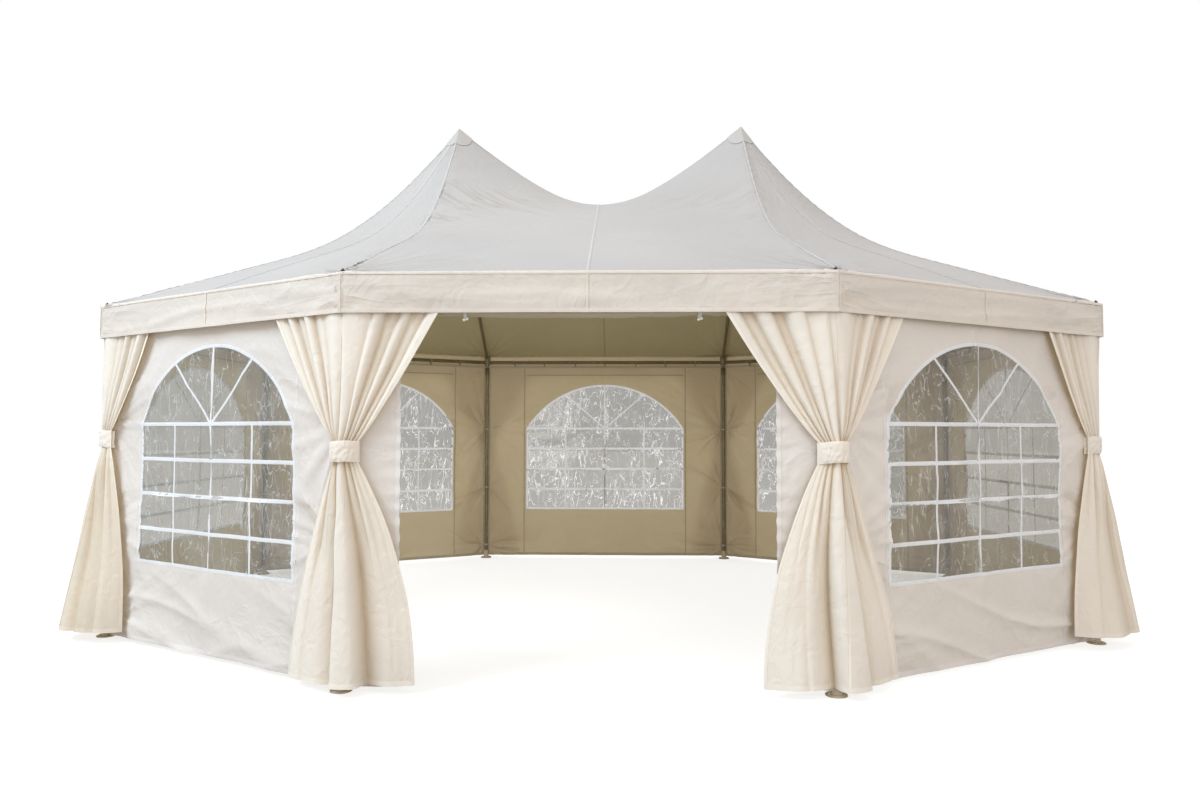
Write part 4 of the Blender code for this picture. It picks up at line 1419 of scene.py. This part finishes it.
# how far a curtain reaches along its bay at the top, at the band and at the hem
SIDE_REACH = (0.57, 0.090, 0.37)
SIDE_REACHES = {
    "front_left": (0.60, 0.040, 0.375), "front_right": (0.56, 0.048, 0.41),
    "left_front": (0.62, 0.130, 0.33), "right_front": (0.62, 0.160, 0.35),
}
FRONT_REACHES = {"front_left": (0.595, 0.104, 0.425), "front_right": (0.67, 0.106, 0.41)}
CURTAIN_BACK = POST_RADIUS + 0.0075


def curtain_cut(corner):
    """Height of the band, depth at the band and at the hem, and height of the hem."""
    return CURTAIN_CUTS.get(corner, CURTAIN_CUT)


def curtain_seed(corner):
    """Every curtain has its own noise."""
    return 80.0 + 3.0 * CORNER_NAMES.index(corner)


def curtain_level(corner, v):
    """Height at v, which runs down a curtain from its top to its hem."""
    return CURTAIN_TOP + (curtain_cut(corner)[3] - CURTAIN_TOP) * v


def height_share(corner, z):
    """(True above the band, share of the way from the band to the top or to the hem)."""
    band_z, _, _, hem_z = curtain_cut(corner)
    if z > band_z:
        return True, max(0.0, z - band_z - BAND_HALF) / (CURTAIN_TOP - band_z - BAND_HALF)
    return False, max(0.0, band_z - BAND_HALF - z) / (band_z - BAND_HALF - hem_z)


def curtain_reach(corner, before, z):
    """How far a curtain reaches along the bay before or after its corner at a height."""
    reaches = curtain_sides(corner)[0 if before else 1]
    sweep = FRONT_SWEEP if reaches in FRONT_REACHES.values() or corner in CURTAIN_CUTS else SIDE_SWEEP
    above, share = height_share(corner, z)
    top, band, hem = reaches
    if above:
        return band + (top - band) * share ** UPPER_SWEEP
    return band + (hem - band) * (1.0 - max(0.0, 1.0 - share) ** sweep)


def curtain_depth(corner, z):
    """How deep a curtain may stand out at a height."""
    above, share = height_share(corner, z)
    _, band, hem, _ = curtain_cut(corner)
    if above:
        return band + (TOP_DEPTH - band) * share ** 0.6
    return band + (hem - band) * share ** 0.85


def curtain_sides(corner):
    """Reaches along the bay before and the bay after a corner."""
    before, after = corner_bays(corner)
    side = SIDE_REACHES.get(corner, SIDE_REACH)
    front = FRONT_REACHES.get(corner)
    return front if before == "front" else side, front if after == "front" else side


def round_corner(corner, along, out):
    """Point of a line round a corner: along it (negative on the bay before), and out from it."""
    before, after = corner_bays(corner)
    heart = corner_offset(corner, CURTAIN_BACK)
    way_a, normal_a = bay_frame(before)[1:3]
    way_b, normal_b = bay_frame(after)[1:3]
    normal = normal_a.lerp(normal_b, ease(0.5 + along / 0.10)).normalized()
    spread = 0.5 * (math.hypot(along, 0.03) - abs(along))
    return heart + (way_a if along < 0.0 else way_b) * along + (way_b - way_a) * spread + normal * out


levels = (CURTAIN_TOP, CURTAIN_CUT[0], CURTAIN_CUT[3])
print("curtain depth at top, band, hem:", [round(curtain_depth("front_left", z), 3) for z in levels])

# %% [markdown]
# The folds are told by their valleys, the creases between two folds. Each valley has a place across
# the curtain and a depth, both at the band and at the far end, and a breadth. Above the band a dozen
# folds run up to the rail. Below it eight gathers come out of the band, and most of them run out, so
# that their folds flow into three broad ones with one deep valley between them. The cloth falls off
# steeply on one side of a valley and slowly on the other. The pattern is the one of the corner left
# of the opening, told from its side wall to the opening; other corners turn it round and shift it,
# as no two curtains are gathered alike.

# %% Fold law
UPPER_VALLEYS = (
    # place at the band and top, depth at the band and top, breadth at the top, steep side
    (-0.84, -0.84, 0.60, 0.75, 0.024, -1.0),
    (-0.66, -0.72, 0.90, 1.00, 0.028, 1.0),
    (-0.50, -0.58, 0.60, 0.75, 0.022, -1.0),
    (-0.34, -0.45, 1.00, 0.95, 0.032, 1.0),
    (-0.16, -0.30, 0.70, 0.40, 0.036, 1.0),
    (0.02, 0.00, 0.80, 0.30, 0.016, -1.0),
    (0.22, 0.32, 0.60, 0.40, 0.032, -1.0),
    (0.37, 0.47, 1.00, 1.00, 0.036, 1.0),
    (0.51, 0.60, 0.70, 0.80, 0.028, -1.0),
    (0.66, 0.73, 0.95, 1.00, 0.032, 1.0),
    (0.83, 0.86, 0.60, 0.90, 0.026, -1.0),
)
LOWER_VALLEYS = (
    # the same from the band down to the hem
    (-0.76, -0.86, 0.40, 0.00, 0.030, -1.0),
    (-0.50, -0.60, 1.00, 0.20, 0.075, 1.0),
    (-0.24, -0.34, 0.45, 0.00, 0.030, 1.0),
    (-0.02, -0.05, 1.00, 0.65, 0.070, -1.0),
    (0.30, 0.38, 1.00, 1.00, 0.080, 1.0),
    (0.50, 0.60, 1.00, 0.00, 0.050, -1.0),
    (0.68, 0.76, 0.50, 0.12, 0.080, 1.0),
    (0.86, 0.90, 0.30, 0.00, 0.030, 1.0),
)
NEAR_BREADTH = {True: 0.008, False: 0.013}  # of a valley at the band: above it and below it
TURNED_CORNERS = ("front_right", "right_back", "back_left", "left_front")


def valley_lists(corner):
    """The fold pattern of one corner: turned round where the opening is on the other side."""
    seed = curtain_seed(corner)
    turned = -1.0 if corner in TURNED_CORNERS else 1.0
    free = 0.0 if corner == "front_left" else 1.0
    made = {}
    for above, pattern in ((True, UPPER_VALLEYS), (False, LOWER_VALLEYS)):
        made[above] = []
        shift, narrow = (0.32, 0.7) if corner == "front_right" and not above else (0.0, 1.0)
        for number, (band, far, deep, deep_far, broad, lean) in enumerate(pattern):
            sway = 0.10 * free * smooth_noise(number * 1.7, 3.1 + above, seed)
            vary = 1.0 + 0.6 * free * smooth_noise(number * 2.3, 9.0 + above, seed)
            place = (turned * band, turned * (far + sway) + shift)
            made[above].append((*place, deep, deep_far * vary, broad * narrow, turned * lean))
    return made


VALLEY_LISTS = {corner: valley_lists(corner) for corner in CORNER_NAMES}


@functools.lru_cache(maxsize=None)
def valleys_at(corner, v):
    """The valleys on one level of a curtain: place, depth, and breadth in metres to the left and right."""
    z = curtain_level(corner, v)
    above, share = height_share(corner, z)
    seed = curtain_seed(corner)
    found = []
    for number, (band, far, deep, deep_far, broad, lean) in enumerate(VALLEY_LISTS[corner][above]):
        place = band + (far - band) * share ** 0.8
        place += 0.020 * smooth_noise(z * 2.2, number * 3.7, seed) * ease(share * 3.0)
        now = deep + (deep_far - deep) * ease(share / (0.9 if above or deep_far > 0.4 else 0.62))
        near = NEAR_BREADTH[above]
        width = near + (broad - near) * ease(share / (0.9 if above else 0.7))
        leaning = ease(share * 2.5)
        steep, slow = width * (1.0 - (0.50 if above else 0.74) * leaning), width * (1.0 + 0.70 * leaning)
        found.append((place, now, *((steep, slow) if lean > 0.0 else (slow, steep)), lean))
    return found


def fold_out(corner, a, v, reach):
    """How far the cloth stands out from the wall at a (-1 to 1 across) and v, and its drift sideways."""
    z = curtain_level(corner, v)
    above, share = height_share(corner, z)
    seed = curtain_seed(corner)
    depth = curtain_depth(corner, z)
    thin = min(TOP_DEPTH, depth) - 0.004
    room = thin + (depth - thin) * (1.0 - a * a)
    swing = min(room * 0.95, 0.030 + (0.012 if above else 0.095) * ease(share / 0.7))
    lost, drift = 1.0, 0.0
    for place, deep, left, right, lean in valleys_at(corner, round(v, 5)):
        far = abs(a - place) * reach / (left if a < place else right)
        pit = min(0.97, deep) * math.exp(-(far ** 1.2))
        lost *= 1.0 - pit
        drift -= lean * pit * 0.35 * min(left, right) * ease(share * 3.0)
    small = 0.0025 * smooth_noise(a * 10.0, z * 1.6, seed + 2.0) * (0.5 + share)
    soft = 0.012 * smooth_noise(a * 2.4, z * 1.1, seed + 4.0) * ease(share * 1.5)
    return max(0.001, room - swing * (1.0 - lost) + small + soft - 0.006), drift * (1.0 - a * a)


# painted shade: below their bands the two outer curtains are darkened, as if less light fell on them
OUTER_CURTAIN_SHADE = {"left_front": 0.40, "right_front": 0.15}


def fold_shade(corner, u, v):
    """Painted shade from 0 to 1: deep in a valley, where no light gets in, and below the outer curtains'
    bands.
    """
    a = 2.0 * u - 1.0
    z = curtain_level(corner, v)
    reach = curtain_reach(corner, a < 0.0, z)
    share = height_share(corner, z)[1]
    light = 1.0
    for place, deep, left, right, _ in valleys_at(corner, round(v, 5)):
        far = abs(a - place) * reach / (0.5 * (left if a < place else right))
        light *= 1.0 - 0.85 * min(1.0, max(0.0, deep)) * fade(far, 1.0)
    side_shade = OUTER_CURTAIN_SHADE.get(corner, 0.0) * ease((curtain_cut(corner)[0] - z) * 4.0)
    return min(1.0, side_shade + (1.0 - light) * (0.85 + 0.8 * fade(share, 0.09)))


def curtain_point(corner, u, v):
    """Point of a curtain: u from its left to its right edge seen from outside, v down from its top."""
    seed = curtain_seed(corner)
    a = 2.0 * u - 1.0
    z = curtain_level(corner, v) + 0.006 * smooth_noise(a * 1.6, 4.0, seed) * v
    reach = curtain_reach(corner, a < 0.0, z)
    along = a * reach + 0.006 * smooth_noise(z * 3.0, a, seed + 5.0) * abs(a)
    out, drift = fold_out(corner, a, v, reach)
    flat = round_corner(corner, along + drift, out)
    return Vector((flat.x, flat.y, z))


# %% Lay the curtains
CURTAIN_GRID, CURTAIN_WIDTH = (200, 105), 1.15
# place and width in shares of the curtain, and width in metres: both sides and the join in the middle
CURTAIN_EDGES = ((0.010, 0.019, 0.022), (0.990, 0.019, 0.022), (0.5, 0.008, 0.010))


def curtain_length(corner):
    """From the top of a curtain down to its hem."""
    return CURTAIN_TOP - curtain_level(corner, 1.0)


def build_curtain(corner):
    """The gathered sheet of a corner, and its area as it hangs."""
    bm = bmesh.new()
    fold = bm.verts.layers.float.new("fold")
    size = (CURTAIN_WIDTH, curtain_length(corner))
    laid = lay_cloth(bm, *CURTAIN_GRID, lambda u, v: curtain_point(corner, u, v), size)
    # the fold attribute holds painted shade for the colour
    for vert, (u, v) in laid.items():
        vert[fold] = fold_shade(corner, u, v)
    bm.normal_update()
    area = area_of(bm)
    curtain = finish_piece(bm, f"curtain_sheet_{corner}", [CURTAIN_CLOTH])
    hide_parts(f"curtain_{corner}")
    return curtain, area


def build_curtain_hems(corner):
    """Turned and stitched edges of a curtain, both sides and the bottom, and the join down its middle."""
    bm = bmesh.new()
    fold = bm.verts.layers.float.new("fold")
    skin = lambda a, b: curtain_point(corner, a, b)

    def lay_strip(steps, spot, lift, size, middle):
        """Lay one strip: spot(u, v) gives its place on the curtain."""
        place = lambda u, v: lifted(skin, *spot(u, v), lift, 0.0015)
        laid = lay_cloth(bm, steps, 2, place, size, (0.0, middle))
        # the hems get the same painted shade as the curtain under them
        for vert, (u, v) in laid.items():
            vert[fold] = fold_shade(corner, *spot(u, v))

    for at, span, width in CURTAIN_EDGES:
        lay_strip(220, lambda u, v: (at + (0.5 - v) * span, u), 0.0014, (2.15, width), width / 2)
    lay_strip(260, lambda u, v: (u, 1.0 - (1.0 - v) * 0.013), 0.0018, (1.0, 0.024), 0.012)
    return finish_piece(bm, f"curtain_hems_{corner}", [CURTAIN_HEM_CLOTH])


def build_band(corner):
    """Tie band: a strip of doubled cloth round the gathered curtain, creased by its pull."""
    bm = bmesh.new()
    seed = 120.0 + CORNER_NAMES.index(corner)
    before, after = curtain_sides(corner)
    band_z, depth, _, _ = curtain_cut(corner)

    def place(u, v):
        a = 2.0 * u - 1.0
        z = band_z + (0.5 - v) * 2.0 * BAND_HALF + 0.005 * math.sin(a * 2.5 + seed)
        bulge = math.sqrt(max(0.0, 1.0 - a * a * 0.96))
        crease = 0.004 * smooth_noise(a * 9.0 + v * 3.0, v * 3.0, seed)
        crease += 0.003 * smooth_noise(a * 4.0, v * 9.0, seed)
        rim = 0.004 * (1.0 - (2.0 * v - 1.0) ** 4)
        reach = (before if a < 0.0 else after)[1] + 0.004
        flat = round_corner(corner, a * reach, max(0.0, (depth - 0.004) * bulge + crease + rim))
        return Vector((flat.x, flat.y, z))

    lay_cloth(bm, 90, 16, place, (0.30, 2 * BAND_HALF), (0.0, BAND_HALF))
    return finish_piece(bm, f"tie_band_{corner}", [CURTAIN_CLOTH])


for corner in CORNER_NAMES:
    curtain, curtain_area = build_curtain(corner)
    hems, band = build_curtain_hems(corner), build_band(corner)
    top, _, hem = (a + b for a, b in zip(*curtain_sides(corner)))
    width, length = round(top * 1.02, 3), round(curtain_length(corner), 3)
    cut = round((width + hem * 1.06) / 2 * length, 3)
    print(corner, "curtain of", round(curtain_area, 2), "m2, cut", cut, "m2 from", width, "by", length)

# %% [markdown]
# ## The open front
# The front wall is a door that has been rolled up under the beam. It is built as the real roll: one
# sheet wound about eleven times on itself, sagging a little between the two straps that hold it.
# Each strap is a loop of tape with a short white toggle, and a narrow strip of wall is left
# standing at either side.

# %% Rolled door
ROLL_Z, ROLL_SAG = 2.105, 0.015
ROLL_OUTER, ROLL_INNER = 0.0445, 0.010
ROLL_TURNS, STEPS_PER_TURN, ROLL_COLUMNS = 10.5, 20, 100
ROLL_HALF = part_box("rolled_door")[1].x - 0.001
ROLL_Y = middle_of("rolled_door").y
STRAP_PLACES = (-0.68, 0.62)


def roll_point(u, v):
    """Point of the roll: u along it, v from the outer edge in to its core."""
    x = (2.0 * u - 1.0) * ROLL_HALF
    squeeze = 1.0 - 0.10 * sum(math.exp(-((x - strap) / 0.06) ** 2) for strap in STRAP_PLACES)
    radius = (ROLL_OUTER + (ROLL_INNER - ROLL_OUTER) * v) * squeeze
    broad = 0.0050 * smooth_noise(x * 5.0, v * 3.0 * ROLL_TURNS, 130.0) * (1.0 - v)
    radius += broad + 0.0015 * smooth_noise(x * 25.0, v * 90.0, 131.0)
    angle = 2.0 * math.pi * ROLL_TURNS * v + 0.35 * smooth_noise(x * 1.2, 0.0, 132.0) - 0.5 * math.pi
    sag = ROLL_SAG * (math.cos(math.pi * x / (2.0 * ROLL_HALF)) - 0.5)
    z = ROLL_Z - sag + 0.006 * smooth_noise(x * 2.6, 1.0, 133.0)
    return Vector((x, ROLL_Y - radius * math.cos(angle), z + radius * math.sin(angle)))


def build_roll():
    """The wound sheet, and its area."""
    bm = bmesh.new()
    lay_cloth(bm, ROLL_COLUMNS, int(ROLL_TURNS * STEPS_PER_TURN), roll_point, (2 * ROLL_HALF, 2.1))
    bmesh.ops.recalc_face_normals(bm, faces=bm.faces)
    area = area_of(bm)
    roll = finish_piece(bm, "door_roll", [WALL_CLOTH])
    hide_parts("rolled_door")
    return roll, area


ROLL, roll_area = build_roll()
print("rolled door", round(roll_area, 2), "m2,", len(ROLL.data.polygons), "faces")

# %% Straps and toggles
STRAP_WIDTH, STRAP_LIFT, STRAP_DROP = 0.018, 0.003, 0.018
TOGGLE_RADIUS, TOGGLE_HALF = 0.008, 0.016
TOGGLE_AXIS = Vector((1.0, 0.2, 0.35))
FRONT_Y = -2.5  # the line of the front posts
WHITE_PLASTIC = metal_material("white_plastic", (0.82, 0.82, 0.80), (0.74, 0.73, 0.70), 0.35, 0.0, 4.0)


def strap_place(x):
    """Loop of tape over the beam and round the roll: u round the loop, v across it."""
    top, low = BEAM_Z + POST_RADIUS + STRAP_LIFT, ROLL_Z - ROLL_OUTER - STRAP_DROP

    def place(u, v):
        around = 2.0 * math.pi * u
        z = top + (low - top) * (0.5 - 0.5 * math.cos(around))
        near_roll = ease((BEAM_Z - z) / 0.06)
        half = POST_RADIUS + STRAP_LIFT + (ROLL_OUTER - POST_RADIUS) * near_roll
        y = ROLL_Y * near_roll + FRONT_Y * (1.0 - near_roll) - half * math.sin(around)
        return Vector((x + (v - 0.5) * STRAP_WIDTH, y, z))

    return place


def build_straps():
    """Two straps, and a toggle with a waist under each."""
    straps, toggles = bmesh.new(), bmesh.new()
    half_profile = ((0.002, 0.6), (0.003, 1.0), (TOGGLE_HALF - 0.003, 1.0), (TOGGLE_HALF, 0.6))
    profile = [(-along, TOGGLE_RADIUS * share) for along, share in reversed(half_profile)]
    profile += [(along, TOGGLE_RADIUS * share) for along, share in half_profile]
    for x in STRAP_PLACES:
        lay_cloth(straps, 48, 2, strap_place(x), (0.5, STRAP_WIDTH), (0.0, STRAP_WIDTH / 2))
        spot = Vector((x, ROLL_Y - 0.6 * ROLL_OUTER, ROLL_Z - ROLL_OUTER - 0.016))
        add_turned(toggles, spot, TOGGLE_AXIS, profile, 14)
    strap = finish_piece(straps, "door_straps", [WHITE_TAPE], weld=WELD)
    return strap, finish_piece(toggles, "strap_toggles", [WHITE_PLASTIC])


STRAPS, TOGGLES = build_straps()

# %% Strips beside the door
STRIP_LOW, STRIP_HIGH = (corner.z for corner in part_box("door_strip_left"))
STRIP_HEM, STRIP_HEM_LIFT = 0.028, 0.0014


def strip_point(side, u, v):
    """Point of a door strip: u from the post towards the opening, v down; puckered along its free edge."""
    low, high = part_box("door_strip_left" if side < 0.0 else "door_strip_right")
    outer, inner = (low.x, high.x) if side < 0.0 else (high.x, low.x)
    z = STRIP_HIGH + (STRIP_LOW - STRIP_HIGH) * v
    scallop = 0.004 * abs(math.sin(z * 34.0 + smooth_noise(z * 2.0, side, 140.0)))
    x = outer + (inner - outer) * u + side * scallop * u ** 6
    free = ease(u * 1.2)
    wave = 0.010 * smooth_noise(z * 3.0, u * 1.5 + side, 141.0) * free
    gather = 0.003 * math.sin(z * 68.0 + 2.0 * smooth_noise(z * 3.0, side, 142.0)) * u ** 4
    return Vector((x, FRONT_Y - WALL_MID + wave + gather + 0.004, z))


def build_strip(name, side):
    """One strip and the hem along its free edge, on both faces."""
    bm = bmesh.new()
    low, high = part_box(f"door_strip_{name}")
    width, length = high.x - low.x, STRIP_HIGH - STRIP_LOW
    lay_cloth(bm, 30, 200, lambda u, v: strip_point(side, u if side < 0.0 else 1.0 - u, v), (width, length))
    bm.normal_update()
    strip = finish_piece(bm, f"door_strip_sheet_{name}", [WALL_CLOTH])
    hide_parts(f"door_strip_{name}")
    bm = bmesh.new()
    for face in (1.0, -1.0):

        def hem_point(u, v):
            off = (v if side * face < 0.0 else 1.0 - v) * STRIP_HEM / width
            return strip_point(side, 1.0 - off, u) + Vector((0.0, -STRIP_HEM_LIFT * face, 0.0))

        lay_cloth(bm, 220, 2, hem_point, (length, STRIP_HEM), (0.0, STRIP_HEM / 2))
    hem = finish_piece(bm, f"door_strip_hem_{name}", [WALL_HEM_CLOTH])
    return strip


STRIPS = [build_strip("left", -1.0), build_strip("right", 1.0)]
print("door strips", [len(strip.data.polygons) for strip in STRIPS])

# %% [markdown]
# ## Steel frame
# The tubes, the peak frames and the posts of the frame stay as they are; only their finish is new.
# It is painted steel in a dull brown that is rubbed lighter where hands and cloth touch it.

# %% Finish of the steel pieces


def restyle(node, material):
    """Give a carried-over piece of the frame a new finish."""
    piece = bpy.data.objects[node]
    piece.data.materials.clear()
    piece.data.materials.append(material)


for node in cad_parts:
    if str(node).startswith(("eave_tube_", "peak_frame_", "ridge_tube")):
        restyle(node, FRAME_PAINT)
    elif str(node).startswith("post_"):
        restyle(node, POST_PAINT)
print("steel restyled")

# %% [markdown]
# ### Fittings
# The walls hang from small hooks on the eave tubes and are tied to the posts with short loops at
# three heights. Every upper corner has a sleeve for the post, and every foot is a plate with a
# socket and two pins. These pieces are a few centimetres long, so each is made of a few dozen
# faces only.

# %% Ties on the posts
TIE_RADIUS, TIE_HALF, TIE_REACH = POST_RADIUS + 0.004, 0.007, 0.010
TIE_RING, TIE_WIRE = 0.011, 0.002


def corner_axes(corner):
    """A post's place in plan, the way inwards and the way across."""
    heart = CORNERS[corner].to_3d()
    inward = (heart - corner_offset(corner, 1.0).to_3d()).normalized()
    return heart, inward, inward.cross(UP)


def add_ring(bm, centre, axis, radius, thickness, steps=16):
    """Add a ring of round section: a small circle spun about the ring's axis."""
    axis = axis.normalized()
    side = axis.orthogonal().normalized()
    turn = Matrix((side, axis, side.cross(axis))).transposed().to_4x4()
    place = Matrix.Translation(centre + side * radius) @ turn
    circle = bmesh.ops.create_circle(bm, segments=6, radius=thickness, matrix=place)
    bmesh.ops.spin(
        bm, geom=circle["verts"] + edges_of(circle["verts"]), cent=centre, axis=axis,
        angle=2.0 * math.pi, steps=steps, use_merge=True,
    )


def build_ties():
    """Loops round the posts that hold the walls' edges, and a ring at each."""
    bm = bmesh.new()
    for corner in CORNER_NAMES:
        heart, inward, side = corner_axes(corner)
        for height in TIE_HEIGHTS:
            centre = heart + UP * height
            add_turned(bm, centre - UP * TIE_HALF, UP, [(0.0, TIE_RADIUS), (2 * TIE_HALF, TIE_RADIUS)])
            add_ring(bm, centre + inward * (TIE_RADIUS + TIE_REACH), side, TIE_RING, TIE_WIRE)
    for face in bm.faces:
        face.smooth = True
    bmesh.ops.recalc_face_normals(bm, faces=bm.faces)
    return finish_piece(bm, "post_ties", [BRIGHT_METAL])


TIES = build_ties()
print("ties", len(TIES.data.polygons), "faces")

# %% Hooks on the eave tubes
HOOK_SPACING, HOOK_RING, HOOK_WIRE = 0.36, 0.012, 0.003
CLIP_RADIUS, CLIP_HALF = POST_RADIUS + 0.0045, 0.009
HOOK_METAL = metal_material("hook_metal", (0.24, 0.21, 0.16), (0.38, 0.34, 0.27), 0.42, 0.3, 4.0)


def build_hooks():
    """Clips round the eave tubes, each with a ring from which the walls hang."""
    bm = bmesh.new()
    for bay in BAYS:
        _, along, _, length = bay_frame(bay)
        count = int(length / HOOK_SPACING)
        axis = along.to_3d()
        for number in range(count):
            u = (number + 0.5 - count / 2) * HOOK_SPACING * 0.96
            u += 0.02 * smooth_noise(number * 1.7, 0.0, 150.0)
            centre = bay_point(bay, u, 0.0, BEAM_Z - 0.004)
            clip = [(0.0, CLIP_RADIUS), (2 * CLIP_HALF, CLIP_RADIUS)]
            add_turned(bm, centre - axis * CLIP_HALF, axis, clip, 14)
            add_ring(bm, centre - UP * (CLIP_RADIUS + 0.011), axis, HOOK_RING, HOOK_WIRE, 12)
    bmesh.ops.recalc_face_normals(bm, faces=bm.faces)
    return finish_piece(bm, "wall_hooks", [HOOK_METAL])


HOOKS = build_hooks()
print("hooks", len(HOOKS.data.polygons), "faces")

# %% Sleeves and foot sockets
SLEEVE_LOW, PLATE_TOP, PIN_REACH = 2.075, 0.0125, 0.044
# each a list of heights and radii
SLEEVE = [(0.0, POST_RADIUS + 0.0035), (0.002, POST_RADIUS + 0.0045), (0.085, POST_RADIUS + 0.0045)]
SOCKET = [(0.0, 0.040), (0.006, 0.029), (0.016, 0.0265), (0.070, 0.0250), (0.072, 0.021)]
PIN = [(0.0, 0.008), (0.004, 0.008), (0.006, 0.005)]


def build_sleeves():
    """Collars under the corner joints."""
    bm = bmesh.new()
    for corner in CORNER_NAMES:
        add_turned(bm, corner_axes(corner)[0] + UP * SLEEVE_LOW, UP, SLEEVE)
    return finish_piece(bm, "post_sleeves", [FRAME_PAINT])


def build_sockets():
    """Sockets that hold the posts on their foot plates, each with a pin at either side."""
    bm = bmesh.new()
    for corner in CORNER_NAMES:
        heart, _, side = corner_axes(corner)
        foot = heart + UP * PLATE_TOP
        add_turned(bm, foot, UP, SOCKET, 20)
        for across in (-PIN_REACH, PIN_REACH):
            add_turned(bm, foot + side * across, UP, PIN, 10)
    return finish_piece(bm, "foot_sockets", [FOOT_PAINT])


SLEEVES, SOCKETS = build_sleeves(), build_sockets()
print("fittings", len(SLEEVES.data.polygons), len(SOCKETS.data.polygons), "faces")
